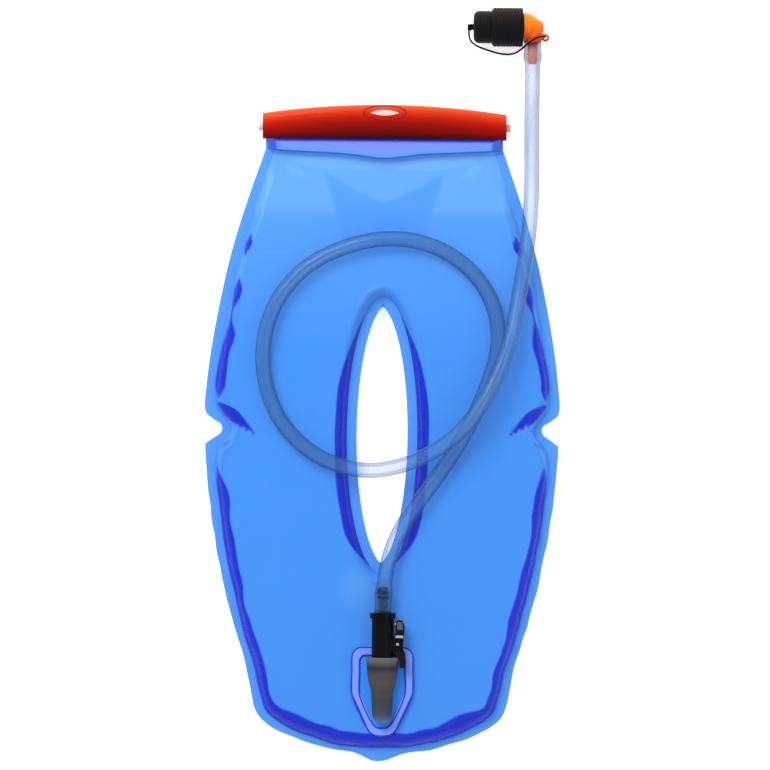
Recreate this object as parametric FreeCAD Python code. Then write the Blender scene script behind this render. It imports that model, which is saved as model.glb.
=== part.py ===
"""Hydration bladder: a welded film reservoir with a slide-on mouth closure, a plug-in hose and a bite valve.

The bladder lies flat. +X is its width, +Y runs up to the mouth, +Z is its thickness.
The origin is under the middle of the reservoir, on the surface that it lies on. Lengths are in millimetres.
"""

import FreeCAD
import Part

import math
import os

V = FreeCAD.Vector
X_AXIS, Y_AXIS, Z_AXIS = V(1, 0, 0), V(0, 1, 0), V(0, 0, 1)

# Reservoir
bag_width = 220.0
bag_length = 407.0  # lower tab to the top of the closure's crown
half_length = bag_length / 2
bag_thickness = 20.0
film = 0.5
seam_width = 5.6
neck_width = 147.0
neck_y = half_length - 27.5
tab_width = 29.0
tab_height = 5.7
notch_depth = 10.6
notch_height = 22.0
notch_y = 2.2
notch_corner = 3.0
slot_length = 158.8
slot_width = 31.6
slot_y = -1.2
slot_seam_width = 6.2
taper_start_y = half_length - 98.5  # from here up to the mouth the chamber gets thinner
taper_end_y = half_length - 35.5

# Mouth closure
rail_radius = 2.5
rail_y = half_length - 14.0
rail_nub = 2.7
flap_thickness = 1.0
flap_gap = 0.3
flap_edge_y = half_length - 29.5
flap_centre_y = half_length - 33.7
flap_side_margin = 1.5
slider_length = 151.0
slider_thickness = 16.4
slider_bottom_y = half_length - 21.5
slider_end_y = half_length - 5.7
slider_round = 4.0
slider_play = 0.4
eye_length = 19.2
eye_height = 4.0
eye_y = half_length - 4.9

# Outlet port, whose socket points towards the mouth
port_x = 1.5
port_axis_height = 8.0  # above the front film
shield_width = 37.0
shield_top_y = 70.5 - half_length
shield_straight_end_y = 42.5 - half_length
shield_bottom_y = 16.5 - half_length
shield_bottom_width = 13.0
shield_plate = 1.5
shield_rim_width = 4.4
shield_rim_height = 0.8
socket_mouth_y = 65.0 - half_length
socket_mouth_radius = 10.2
socket_waist_radius = 9.0
socket_tail_radius = 6.8
socket_length = 40.0
socket_bore_radius = 5.0
socket_bore_depth = 13.5
seat_radius = 3.2
seat_length = 4.0
shutoff_bore_radius = 4.3
shutoff_bore_depth = 17.0
inlet_radius = 3.2
inlet_inset = 5.5  # from the shutoff bore's end

# Shut-off poppet
poppet_radius = 3.9
poppet_disc = 1.6
poppet_travel = 2.1
poppet_stem_radius = 1.4
poppet_bar_width = 2.0
poppet_bar_length = 5.8
poppet_bar_height = 1.2
seal_thickness = 0.8
seal_inner_radius = 2.4
spring_wire_radius = 0.35
spring_radius = 3.0
spring_turns = 5

# Hose coupler
coupler_radius = 6.75
coupler_top_y = 89.2 - half_length
collar_radius = 8.0
collar_height = 3.3
spigot_clearance = 0.07
spigot_gap = 0.3
spigot_end_gap = 1.0
coupler_bore_radius = 2.0
oring_section = 0.6
oring_from_tip = 4.5
oring_play = 0.03
barb_length = 16.0
barb_stem_radius = 3.1
barb_ridge_radius = 4.2

# Release latch on the coupler's right side
latch_pin_radius = 0.9
latch_pin_x = 9.2
latch_pin_y = 73.4 - half_length
latch_thickness = 7.0
latch_clearance = 0.05
latch_side_gap = 0.3
ear_thickness = 1.5
ear_length = 6.8
pad_height = 1.1
latch_spring_y = 85.5 - half_length
latch_spring_radius = 1.3
latch_spring_wire_radius = 0.2
latch_spring_turns = 2
latch_thumb_gap = 1.9

# Hose
hose_diameter = 9.5
hose_bore = 6.4

# Bite valve, whose mouth end points along -X
valve_y = 252.2
cover_radius = 12.4
cover_tip_radius = 10.2
cover_length = 31.0
cover_wall = 1.5
cover_rib_clearance = 0.15
floor_gap = 0.2
elbow_x = 91.3
elbow_arm_radius = 6.7
elbow_flange_radius = 9.6
elbow_flange_length = 1.4
elbow_hood_radius = 8.7
elbow_neck_radius = 5.6
elbow_chamfer = 5.7
elbow_chamfer_length = 8.2
elbow_barb_length = 13.0
elbow_barb_clearance = 0.1
elbow_bore_radius = 2.0
valve_spigot_radius = 5.0
valve_spigot_length = 12.0
valve_clearance = 0.07
valve_body_radius = 9.0
valve_waist_radius = 8.2
valve_body_length = 13.0
valve_nozzle_radius = 4.2
valve_nozzle_length = 9.0
mouthpiece_radius = 7.2
mouthpiece_tip_radius = 5.2
mouthpiece_length = 14.2
tether_radius = 0.6
tab_ring_radius = 2.4
tab_ring_hole = 1.0
tab_ring_thickness = 2.2
knot_radius = 1.9

seam_z = bag_thickness / 2
film_top = bag_thickness
port_z = film_top + port_axis_height
valve_z = cover_radius + floor_gap
hose_radius = hose_diameter / 2
hose_bed_z = film_top + hose_radius + 0.45
hose_start_y = coupler_top_y + collar_height
hose_end_y = 242.3

# The hose's route, chosen by hand: from the coupler round one loop and up to the bite valve.
HOSE_ROUTE = [
    (port_x, hose_start_y, port_z),
    (port_x, hose_start_y + 20.0, port_z),
    (9.0, -62.0, hose_bed_z),
    (30.0, -33.0, hose_bed_z),
    (48.5, -6.0, hose_bed_z),
    (63.0, 24.0, hose_bed_z),
    (73.5, 57.0, hose_bed_z),
    (66.0, 89.0, hose_bed_z),
    (42.0, 112.5, hose_bed_z),
    (10.0, 122.0, hose_bed_z),
    (-23.0, 116.5, hose_bed_z),
    (-52.0, 101.0, hose_bed_z),
    (-71.0, 74.0, hose_bed_z),
    (-75.5, 41.0, hose_bed_z),
    (-66.0, 9.0, hose_bed_z),
    (-43.0, -14.5, hose_bed_z),
    (-11.5, -25.0, hose_bed_z),
    (20.0, -18.5, 32.0),
    (49.0, 0.0, 44.0),
    (67.5, 28.0, 44.0),
    (79.5, 59.0, 35.0),
    (85.0, 92.0, 26.5),
    (89.8, 122.5, 25.0),
    (91.5, 150.0, 16.0),
    (91.5, 176.0, 6.2),
    (elbow_x, 198.0, 5.6),
    (elbow_x, 219.8, valve_z),
    (elbow_x, hose_end_y, valve_z),
]

# The tether's route, chosen by hand: from the cover's tip, along the ground and over the hose to the elbow.
TETHER_ROUTE = [
    (51.6, 250.0, 12.0),
    (51.0, 244.5, 8.5),
    (54.5, 241.0, 3.0),
    (63.0, 239.0, 1.2),
    (72.0, 236.4, 1.2),
    (79.5, 236.0, 5.0),
    (84.0, 238.4, 14.5),
    (89.0, 242.4, 21.5),
    (95.6, 245.8, 21.5),
    (99.1, 246.0, 15.0),
]

# Half of the rim, as shares of half the width and half the length, going down from the neck to the tab
UPPER_SIDE = [(0.784, 0.683), (0.863, 0.536), (0.922, 0.390), (0.969, 0.244), (0.997, 0.110)]
LOWER_SIDE = [(0.975, -0.195), (0.922, -0.378), (0.843, -0.561), (0.755, -0.720), (0.723, -0.811)]
LOWER_END = [(0.672, -0.876), (0.509, -0.926), (0.296, -0.963)]

# Height above the seam as a share of half the thickness, with how far the chamber has drawn in from the seam
CHAMBER_STEPS = [(0.0, 0.0), (0.4, 0.4), (0.8, 1.9), (1.0, 5.4)]


def save(name, shape):
    """Writes one sub-part and says how big it is."""
    shape.exportStep(f"parts/{name}.step")
    box = shape.BoundBox
    print(f"{name}: {len(shape.Solids)} solid, {shape.Volume:.0f} mm3, valid {shape.isValid()}, "
          f"x {box.XMin:.1f} {box.XMax:.1f}, y {box.YMin:.1f} {box.YMax:.1f}, z {box.ZMin:.1f} {box.ZMax:.1f}")


def turned(profile, start, axis):
    """A solid of revolution. The profile is (distance along the axis, radius) from start, closed on the axis."""
    points = [V(profile[0][0], 0, 0)] + [V(along, radius, 0) for along, radius in profile]
    points += [V(profile[-1][0], 0, 0)]
    unique = [points[0]] + [b for a, b in zip(points, points[1:]) if a.distanceToPoint(b) > 1e-6]
    face = Part.Face(Part.makePolygon(unique + [unique[0]]))
    solid = face.revolve(V(0, 0, 0), X_AXIS, 360)
    solid.Placement = FreeCAD.Placement(V(*start), FreeCAD.Rotation(X_AXIS, axis))
    return solid


def rod(radius, start, axis, length):
    return Part.makeCylinder(radius, length, V(*start), axis)


def box_between(low, high):
    return Part.makeBox(high[0] - low[0], high[1] - low[1], high[2] - low[2], V(*low))


def ring(major, minor, centre, axis):
    return Part.makeTorus(major, minor, V(*centre), axis)


def plate(points, bottom, height, corner_radii):
    """A flat plate with its corners rounded, one radius a corner."""
    corners = [V(x, y, bottom) for x, y in points]
    solid = Part.Face(Part.makePolygon(corners + [corners[0]])).extrude(V(0, 0, height))
    for corner, radius in zip(corners, corner_radii):
        if radius > 0:
            upright = [
                e for e in solid.Edges
                if all(math.hypot(v.X - corner.x, v.Y - corner.y) < 1e-4 for v in e.Vertexes)
            ]
            solid = solid.makeFillet(radius, upright)
    return solid


def coil(radius, wire_radius, turns, start, axis, length):
    """A round-wire compression spring that lies within its length."""
    rise = length - 2 * wire_radius
    helix = Part.Wire(Part.makeHelix(rise / turns, rise, radius).Edges)
    first = helix.Edges[0]
    circle = Part.Wire(Part.makeCircle(wire_radius, V(radius, 0, 0), first.tangentAt(first.FirstParameter)))
    solid = helix.makePipeShell([circle], True, True)
    solid.translate(V(0, 0, wire_radius))
    solid.Placement = FreeCAD.Placement(V(*start), FreeCAD.Rotation(Z_AXIS, axis)) * solid.Placement
    return solid


def hose_path(route):
    """Straight runs joined by tangent arcs, each as large as its two runs allow. Prints the smallest radius."""
    points = [V(*p) for p in route]
    edges, here, radii = [], points[0], []
    for before, corner, after in zip(points, points[1:], points[2:]):
        into, out = corner - before, after - corner
        turn = into.getAngle(out)
        reach = 0.45 * min(into.Length, out.Length)
        radii.append(reach / math.tan(turn / 2))
        begin = corner - into.normalize() * reach
        end = corner + out.normalize() * reach
        middle = (begin + end) * 0.5
        centre = corner + (middle - corner) * (corner.distanceToPoint(begin) / corner.distanceToPoint(middle)) ** 2
        crown = centre + (corner - centre).normalize() * radii[-1]
        edges.append(Part.LineSegment(here, begin).toShape())
        edges.append(Part.Arc(begin, crown, end).toShape())
        here = end
    edges.append(Part.LineSegment(here, points[-1]).toShape())
    print("  bend radii:", " ".join(f"{r:.0f}" for r in radii))
    return Part.Wire(edges)


def swept(path, radius):
    """A round bar along a path."""
    first = path.OrderedEdges[0] if hasattr(path, "OrderedEdges") else path.Edges[0]
    start = first.valueAt(first.FirstParameter)
    circle = Part.Wire(Part.makeCircle(radius, start, first.tangentAt(first.FirstParameter)))
    return path.makePipeShell([circle], True, False)


# ---------------------------------------------------------------- reservoir


def side_points():
    """The right half of the rim with its notch left out, from the neck down to the tab."""
    half = bag_width / 2
    upper = [V(half * x, half_length * y, 0) for x, y in UPPER_SIDE]
    lower = [V(half * x, half_length * y, 0) for x, y in LOWER_SIDE + LOWER_END]
    return upper, lower


def film_sheet(height):
    """The cut sheet: the neck, the rim with its two notches, the tab and the central slot."""
    half, mouth_y = bag_width / 2, rail_y - rail_radius - flap_thickness
    upper, lower = side_points()
    shoulder_top = V(half, notch_y + notch_height / 2, 0)
    shoulder_low = V(half, notch_y - notch_height / 2, 0)
    apex = V(half - notch_depth, notch_y, 0)
    tab_corner = V(tab_width / 2, tab_height - half_length, 0)

    def half_edges(sign):
        def flip(point):
            return V(sign * point.x, point.y, 0)

        def line(a, b):
            return Part.makeLine(flip(a), flip(b))

        def curve(points):
            spline = Part.BSplineCurve()
            spline.interpolate([flip(p) for p in points])
            return spline.toShape()

        neck = V(neck_width / 2, neck_y, 0)
        tip_arc = Part.Arc(flip(tab_corner), flip(V(tab_width / 4, -half_length + tab_height * 0.25, 0)),
                           V(0, -half_length, 0)).toShape()
        return [
            line(V(0, mouth_y, 0), V(neck_width / 2, mouth_y, 0)),
            line(V(neck_width / 2, mouth_y, 0), neck),
            curve([neck] + upper + [shoulder_top]),
            line(shoulder_top, apex),
            line(apex, shoulder_low),
            curve([shoulder_low] + lower + [tab_corner]),
            tip_arc,
        ]

    edges = Part.__sortEdges__(half_edges(1) + half_edges(-1))
    sheet = Part.Face(Part.Wire(edges)).extrude(V(0, 0, height))
    notch_edges = [
        e for e in sheet.Edges
        if len(e.Vertexes) == 2 and abs(e.Vertexes[0].X - e.Vertexes[1].X) < 1e-6
        and abs(e.Vertexes[0].Y - e.Vertexes[1].Y) < 1e-6
        and abs(e.Vertexes[0].Y - notch_y) < notch_height / 2 + 1 and abs(e.Vertexes[0].X) > half - notch_depth - 1
    ]
    sheet = sheet.makeFillet(notch_corner, notch_edges)
    sheet = sheet.cut(slot_column(0.0, 0.0, height, height))
    sheet.translate(V(0, 0, seam_z))
    return sheet


def slot_wire(grow, height):
    ellipse = Part.Ellipse(V(0, slot_y, height), slot_length / 2 + grow, slot_width / 2 + grow)
    ellipse.rotate(FreeCAD.Placement(V(0, 0, 0), FreeCAD.Rotation(Z_AXIS, 90), V(0, slot_y, height)))
    return Part.Wire(ellipse.toShape())


def slot_column(grow_low, grow_high, low, high):
    """A column through the central slot, for cutting."""
    return Part.makeLoft([slot_wire(grow_low, low - high), slot_wire(grow_high, 2 * high)], True, True)


def chamber_wire(inset, height):
    """The chamber's outline, drawn in from the rim. The notch shows as a shallow wave."""
    half, mouth_y = bag_width / 2, rail_y - rail_radius - flap_thickness
    upper, lower = side_points()
    wave = notch_height * 1.2
    notch_wave = [
        V(half * 0.995, notch_y + wave, 0),
        V(half - notch_depth, notch_y, 0),
        V(half * 0.99, notch_y - wave, 0),
    ]
    right = [V(neck_width / 2, mouth_y, 0), V(neck_width / 2, neck_y, 0)] + upper[:-1] + notch_wave + lower
    points = right + [V(0, tab_height - half_length, 0)] + [V(-p.x, p.y, 0) for p in reversed(right)]
    drawn_in = []
    for before, point, after in zip(points, points[1:], points[2:]):
        along = (after - before).normalize()
        drawn_in.append(point + V(along.y, -along.x, 0) * inset + V(0, 0, height))
    top_y = mouth_y - inset
    ends = [V(neck_width / 2 - inset, top_y, height), V(inset - neck_width / 2, top_y, height)]
    spline = Part.BSplineCurve()
    spline.interpolate([ends[0]] + drawn_in + [ends[1]])
    return Part.Wire([spline.toShape(), Part.makeLine(ends[1], ends[0])])


def chamber(wall):
    """One half of the inflated chamber above the seam, drawn in all round by the wall."""
    rise = seam_z - wall
    outer, core = [], []
    for share, draw in [(-0.2, 0.0)] + CHAMBER_STEPS:
        outer.append(chamber_wire(seam_width + draw + wall, share * rise))
        core.append(slot_wire(slot_seam_width + draw + wall, share * rise))
    body = Part.makeLoft(outer, True, True)
    above = Part.makeLoft([core[-1], slot_wire(slot_seam_width + CHAMBER_STEPS[-1][1] + wall, rise + 2)], True, True)
    body = body.cut(Part.makeLoft(core, True, True)).cut(above)
    slope = (seam_z - film) / (taper_end_y - taper_start_y)
    top = seam_z - wall
    run_up = rail_y - taper_start_y
    wedge = Part.Face(Part.makePolygon([
        V(0, taper_start_y, top), V(0, taper_start_y + run_up, top - run_up * slope),
        V(0, taper_start_y + run_up, top + 5), V(0, taper_start_y, top + 5), V(0, taper_start_y, top),
    ])).extrude(V(bag_width, 0, 0))
    wedge.translate(V(-bag_width / 2, 0, 0))
    body = body.cut(wedge)
    body.translate(V(0, 0, seam_z))
    return body


def film_half():
    """The front film before its outlet is cut: the seam all round and the raised chamber."""
    above_seam = box_between((-bag_width, -bag_length, seam_z), (bag_width, bag_length, 2 * bag_thickness))
    raised = chamber(0.0).common(above_seam)
    return film_sheet(film).fuse(raised).cut(chamber(film)).removeSplitter()


def front_and_back_film():
    front = film_half()
    back = front.mirror(V(0, 0, seam_z), Z_AXIS)
    inlet = rod(inlet_radius, (port_x, inlet_y(), film_top - 2), Z_AXIS, 4)
    return front.cut(inlet), back


# ---------------------------------------------------------------- mouth closure


def rail_centre_z():
    return seam_z + film + flap_gap + flap_thickness / 2


def mouth_rail():
    length = slider_length + 2 * rail_nub
    return rod(rail_radius, (-length / 2, rail_y, rail_centre_z()), X_AXIS, length)


def mouth_flap():
    """The film mouth wrapped round the rail, with its edge hanging in front of the neck."""
    half = neck_width / 2 - flap_side_margin
    z = rail_centre_z()
    wrap = rod(rail_radius + flap_thickness, (-half, rail_y, z), X_AXIS, 2 * half)
    low = z - flap_thickness / 2
    edge = Part.Arc(V(-half, flap_edge_y, low), V(0, flap_centre_y, low), V(half, flap_edge_y, low)).toShape()
    rim = [
        Part.makeLine(V(half, flap_edge_y, low), V(half, rail_y, low)),
        Part.makeLine(V(half, rail_y, low), V(-half, rail_y, low)),
        Part.makeLine(V(-half, rail_y, low), V(-half, flap_edge_y, low)),
    ]
    hanging = Part.Face(Part.Wire([edge] + rim)).extrude(V(0, 0, flap_thickness))
    hollow = rod(rail_radius + 0.05, (-half - 1, rail_y, z), X_AXIS, 2 * half + 2)
    return wrap.fuse(hanging).cut(hollow)


def closure_slider():
    """The bar with its rounded back, the channel that grips the rail, and the hanging eye."""
    half = slider_length / 2
    low = seam_z - slider_thickness / 2
    top_arc = Part.Arc(V(half, slider_end_y, low), V(0, half_length, low), V(-half, slider_end_y, low)).toShape()
    rim = [
        Part.makeLine(V(-half, slider_end_y, low), V(-half, slider_bottom_y, low)),
        Part.makeLine(V(-half, slider_bottom_y, low), V(half, slider_bottom_y, low)),
        Part.makeLine(V(half, slider_bottom_y, low), V(half, slider_end_y, low)),
    ]
    bar = Part.Face(Part.Wire([top_arc] + rim)).extrude(V(0, 0, slider_thickness))
    long_edges = [e for e in bar.Edges if e.BoundBox.XLength > slider_length - 1]
    bar = bar.makeFillet(slider_round, long_edges)
    z = rail_centre_z()
    channel = rod(rail_radius + flap_thickness + slider_play, (-half - 1, rail_y, z), X_AXIS, slider_length + 2)
    groove_low = seam_z - film - slider_play
    groove_high = z + flap_thickness / 2 + slider_play
    groove = box_between((-half - 1, slider_bottom_y - 1, groove_low), (half + 1, rail_y, groove_high))
    sag = eye_height / 2
    eye = Part.Wire([
        Part.Arc(V(-eye_length / 2, eye_y, 0), V(0, eye_y + sag, 0), V(eye_length / 2, eye_y, 0)).toShape(),
        Part.Arc(V(eye_length / 2, eye_y, 0), V(0, eye_y - sag, 0), V(-eye_length / 2, eye_y, 0)).toShape(),
    ])
    hole = Part.Face(eye).extrude(V(0, 0, bag_thickness))
    return bar.cut(channel).cut(groove).cut(hole)


# ---------------------------------------------------------------- outlet port


def seat_y():
    """The near face of the shut-off seat, at the bottom of the socket's bore."""
    return socket_mouth_y - socket_bore_depth


def shutoff_end_y():
    return seat_y() - seat_length - shutoff_bore_depth


def inlet_y():
    return shutoff_end_y() + inlet_inset


def shield(width, top_y, straight_end_y, bottom_y, bottom_width, bottom, height, corner):
    half, foot = width / 2, bottom_width / 2
    points = [
        (port_x - half, top_y), (port_x + half, top_y), (port_x + half, straight_end_y),
        (port_x + foot, bottom_y), (port_x - foot, bottom_y), (port_x - half, straight_end_y),
    ]
    return plate(points, bottom, height, [corner, corner, corner * 1.5, foot * 0.9, foot * 0.9, corner * 1.5])


def outlet_port():
    """The weld flange with its raised rim, and the socket with its bores."""
    rim_top = shield_plate + shield_rim_height
    base = shield(shield_width, shield_top_y, shield_straight_end_y, shield_bottom_y, shield_bottom_width,
                  film_top, rim_top, 6.0)
    inner = shield(shield_width - 2 * shield_rim_width, shield_top_y - shield_rim_width,
                   shield_straight_end_y + 1, shield_bottom_y + shield_rim_width,
                   shield_bottom_width - shield_rim_width, film_top + shield_plate, rim_top, 4.0)
    base = base.cut(inner)
    down = -Y_AXIS
    outside = turned([
        (0, socket_mouth_radius), (10, socket_waist_radius + 0.3), (12.5, socket_waist_radius),
        (22, socket_tail_radius), (36, socket_tail_radius - 0.8), (socket_length, socket_tail_radius - 3),
    ], (port_x, socket_mouth_y, port_z), down)
    below = box_between((-50, shield_bottom_y - 20, 0), (50, socket_mouth_y + 20, film_top))
    solid = base.fuse(outside.cut(below))
    solid = solid.cut(rod(coupler_radius + 1, (port_x, socket_mouth_y, port_z), Y_AXIS, 10))
    solid = solid.cut(rod(socket_bore_radius, (port_x, socket_mouth_y + 1, port_z), down, socket_bore_depth + 1))
    solid = solid.cut(rod(seat_radius, (port_x, seat_y() + 1, port_z), down, seat_length + 2))
    shutoff = rod(shutoff_bore_radius, (port_x, seat_y() - seat_length, port_z), down, shutoff_bore_depth)
    inlet = rod(inlet_radius, (port_x, inlet_y(), film_top - 1), Z_AXIS, port_axis_height + 1)
    return solid.cut(shutoff).cut(inlet)


def poppet_back_y():
    """The back face of the poppet's disc while the coupler holds the valve open."""
    return seat_y() - seat_length - poppet_travel - 0.1 - seal_thickness - poppet_disc


def poppet():
    disc = rod(poppet_radius, (port_x, poppet_back_y(), port_z), Y_AXIS, poppet_disc)
    bar_top = spigot_tip_y() - 0.3
    stem_length = bar_top - poppet_back_y()
    stem = rod(poppet_stem_radius, (port_x, poppet_back_y(), port_z), Y_AXIS, stem_length)
    bar = box_between(
        (port_x - poppet_bar_length / 2, bar_top - poppet_bar_height, port_z - poppet_bar_width / 2),
        (port_x + poppet_bar_length / 2, bar_top, port_z + poppet_bar_width / 2),
    )
    return disc.fuse([stem, bar])


def poppet_seal():
    front = poppet_back_y() + poppet_disc
    outer = rod(poppet_radius - 0.1, (port_x, front, port_z), Y_AXIS, seal_thickness)
    return outer.cut(rod(seal_inner_radius, (port_x, front - 1, port_z), Y_AXIS, seal_thickness + 2))


def poppet_spring():
    end = shutoff_end_y()
    room = poppet_back_y() - end
    return coil(spring_radius, spring_wire_radius, spring_turns, (port_x, end + 0.05, port_z), Y_AXIS, room - 0.1)


# ---------------------------------------------------------------- hose coupler


def spigot_tip_y():
    return seat_y() + spigot_end_gap


def coupler_body():
    """One moulding: spigot with its ring groove, barrel, collar, hose barb and the two ears of the latch."""
    spigot_radius = socket_bore_radius - spigot_clearance
    groove_floor = spigot_radius - 2 * oring_section - oring_play
    tip, shoulder = spigot_tip_y(), socket_mouth_y + spigot_gap
    groove = tip + oring_from_tip
    reach = oring_section + 0.1
    barb_end = hose_start_y + barb_length
    stations = [
        (tip, spigot_radius - 0.6), (tip + 0.6, spigot_radius), (groove - reach, spigot_radius),
        (groove - reach, groove_floor), (groove + reach, groove_floor), (groove + reach, spigot_radius),
        (shoulder, spigot_radius), (shoulder, coupler_radius), (coupler_top_y, coupler_radius),
        (coupler_top_y, collar_radius), (hose_start_y - 0.1, collar_radius), (hose_start_y - 0.1, barb_stem_radius),
        (barb_end - 7, barb_stem_radius), (barb_end - 7, barb_ridge_radius), (barb_end - 4, barb_stem_radius),
        (barb_end - 4, barb_ridge_radius), (barb_end, barb_stem_radius - 0.4),
    ]
    body = turned([(y - tip, radius) for y, radius in stations], (port_x, tip, port_z), Y_AXIS)
    ear_end = port_x + latch_pin_x + 2.2
    for low in (port_z + latch_thickness / 2 + latch_side_gap,
                port_z - latch_thickness / 2 - latch_side_gap - ear_thickness):
        ear = box_between((port_x + 3, latch_pin_y - ear_length / 2, low),
                          (ear_end, latch_pin_y + ear_length / 2, low + ear_thickness))
        body = body.fuse(ear)
    body = body.cut(rod(coupler_bore_radius, (port_x, tip - 1, port_z), Y_AXIS, barb_end - tip + 2))
    pin_hole = rod(latch_pin_radius + 0.02, (port_x + latch_pin_x, latch_pin_y, film_top), Z_AXIS, bag_thickness)
    return body.cut(pin_hole).removeSplitter()


def coupler_oring():
    spigot_radius = socket_bore_radius - spigot_clearance
    return ring(spigot_radius - oring_section, oring_section,
                (port_x, spigot_tip_y() + oring_from_tip, port_z), Y_AXIS)


def latch_lever():
    """The rocker on the coupler's side: thumb end above the pin, hooked end beside the port's mouth."""
    hook_x = socket_mouth_radius + 0.4
    thumb_x = coupler_radius + latch_thumb_gap
    outline = [
        (thumb_x, coupler_top_y - 1.2), (thumb_x + 3.4, coupler_top_y - 1.2), (thumb_x + 5.0, latch_pin_y + 10.6),
        (latch_pin_x + 3.8, latch_pin_y + 3.1), (latch_pin_x + 3.2, latch_pin_y - 2.9),
        (hook_x + 3.6, socket_mouth_y + 2.1), (hook_x + 3.6, socket_mouth_y - 6.3), (hook_x, socket_mouth_y - 6.3),
        (hook_x, socket_mouth_y - 0.3), (latch_pin_x - 1.9, latch_pin_y - 5.1), (latch_pin_x - 1.9, latch_pin_y + 2.6),
    ]
    lever = plate([(port_x + x, y) for x, y in outline], port_z - latch_thickness / 2, latch_thickness,
                  [0.8, 1.2, 3.0, 0, 0, 1.0, 1.0, 0.8, 0, 0, 0])
    hole = rod(latch_pin_radius + latch_clearance, (port_x + latch_pin_x, latch_pin_y, film_top), Z_AXIS,
               bag_thickness)
    return lever.cut(hole)


def latch_pad():
    """The pale thumb pad on the lever's upper end."""
    left = port_x + coupler_radius + 2.2
    low, high = latch_pin_y + 8.9, latch_pin_y + 13.7
    points = [(left, low), (left + 3.6, low), (left + 3.0, high), (left, high)]
    return plate(points, port_z + latch_thickness / 2, pad_height, [0.6, 0.6, 0.6, 0.6])


def latch_pin():
    reach = latch_thickness / 2 + latch_side_gap + ear_thickness
    return rod(latch_pin_radius, (port_x + latch_pin_x, latch_pin_y, port_z - reach), Z_AXIS, 2 * reach)


def latch_spring():
    start = port_x + coupler_radius + 0.1
    length = latch_thumb_gap - 0.7
    return coil(latch_spring_radius, latch_spring_wire_radius, latch_spring_turns,
                (start, latch_spring_y, port_z), X_AXIS, length)


# ---------------------------------------------------------------- hose and tether


def drinking_tube():
    path = hose_path(HOSE_ROUTE)
    tube = swept(path, hose_radius).cut(swept(path, hose_bore / 2))
    section = math.pi * (hose_radius ** 2 - hose_bore ** 2 / 4)
    print(f"  hose {path.Length:.0f} mm long, volume over section times length {tube.Volume / section / path.Length:.4f}")
    return tube


def cover_tether():
    path = hose_path(TETHER_ROUTE)
    print(f"  tether {path.Length:.0f} mm long")
    return swept(path, tether_radius)


def tether_knot():
    return Part.makeSphere(knot_radius, V(cover_tip_x() - knot_radius - 0.02, valve_y, valve_z))


# ---------------------------------------------------------------- bite valve


def flange_x():
    """The elbow flange's face, which the valve body turns against."""
    return elbow_x - 5.4


def cover_tip_x():
    return flange_x() - 0.7 - cover_length


def valve_elbow():
    """The orange elbow: barb up the hose, chamfered corner, flange, spigot and tether eye."""
    barb_top = hose_end_y + 0.3
    barb_radius = hose_bore / 2 - elbow_barb_clearance
    upright = turned([
        (0, barb_radius - 0.6), (2.5, barb_radius), (elbow_barb_length, barb_radius),
        (elbow_barb_length, elbow_neck_radius), (elbow_barb_length + 2.4, elbow_neck_radius),
        (elbow_barb_length + 3.4, elbow_arm_radius), (valve_y - barb_top + elbow_barb_length, elbow_arm_radius),
    ], (elbow_x, barb_top - elbow_barb_length, valve_z), Y_AXIS)
    upright = upright.cut(box_between((elbow_x - 2 * elbow_arm_radius, barb_top, 0), (flange_x(), valve_y, 2 * valve_z)))
    start = elbow_x + elbow_arm_radius
    to_flange = start - flange_x()
    groove_floor = valve_spigot_radius - 2 * oring_section - oring_play
    across = turned([
        (0, elbow_hood_radius - elbow_chamfer), (elbow_chamfer_length, elbow_hood_radius),
        (to_flange - elbow_flange_length, elbow_hood_radius), (to_flange - elbow_flange_length, elbow_flange_radius),
        (to_flange, elbow_flange_radius), (to_flange, valve_spigot_radius),
        (to_flange + 3.5, valve_spigot_radius), (to_flange + 3.5, groove_floor),
        (to_flange + 4.9, groove_floor), (to_flange + 4.9, valve_spigot_radius),
        (to_flange + valve_spigot_length, valve_spigot_radius),
    ], (start, valve_y, valve_z), -X_AXIS)
    eye_x = elbow_x + elbow_arm_radius + tab_ring_radius - 1.2
    eye_y = hose_end_y + 3.6
    eye = rod(tab_ring_radius, (eye_x, eye_y, valve_z - tab_ring_thickness / 2), Z_AXIS, tab_ring_thickness)
    arm = box_between((elbow_x, eye_y - 1.5, valve_z - tab_ring_thickness / 2),
                      (eye_x, eye_y + 1.5, valve_z + tab_ring_thickness / 2))
    eye_hole = rod(tab_ring_hole, (eye_x, eye_y, 0), Z_AXIS, 2 * valve_z)
    solid = upright.fuse([across, eye, arm]).cut(eye_hole)
    solid = solid.cut(rod(elbow_bore_radius, (elbow_x, barb_top - elbow_barb_length - 1, valve_z), Y_AXIS,
                          valve_y - barb_top + elbow_barb_length + 1))
    bore_end = flange_x() - valve_spigot_length - 1
    return solid.cut(rod(elbow_bore_radius, (elbow_x, valve_y, valve_z), -X_AXIS, elbow_x - bore_end))


def valve_oring():
    return ring(valve_spigot_radius - oring_section, oring_section, (flange_x() - 4.2, valve_y, valve_z), X_AXIS)


def valve_body():
    """The twist valve that turns on the elbow's spigot and carries the nozzle."""
    start = flange_x() - 0.3
    bore = valve_spigot_radius + valve_clearance
    outside = turned([
        (0, valve_body_radius), (5, valve_body_radius), (6, valve_waist_radius),
        (valve_body_length, valve_waist_radius - 1), (valve_body_length, valve_nozzle_radius),
        (valve_body_length + valve_nozzle_length, valve_nozzle_radius - 0.3),
    ], (start, valve_y, valve_z), -X_AXIS)
    outside = outside.cut(rod(bore, (start + 1, valve_y, valve_z), -X_AXIS, valve_spigot_length + 1))
    return outside.cut(rod(elbow_bore_radius, (start, valve_y, valve_z), -X_AXIS,
                           valve_body_length + valve_nozzle_length + 1))


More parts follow.
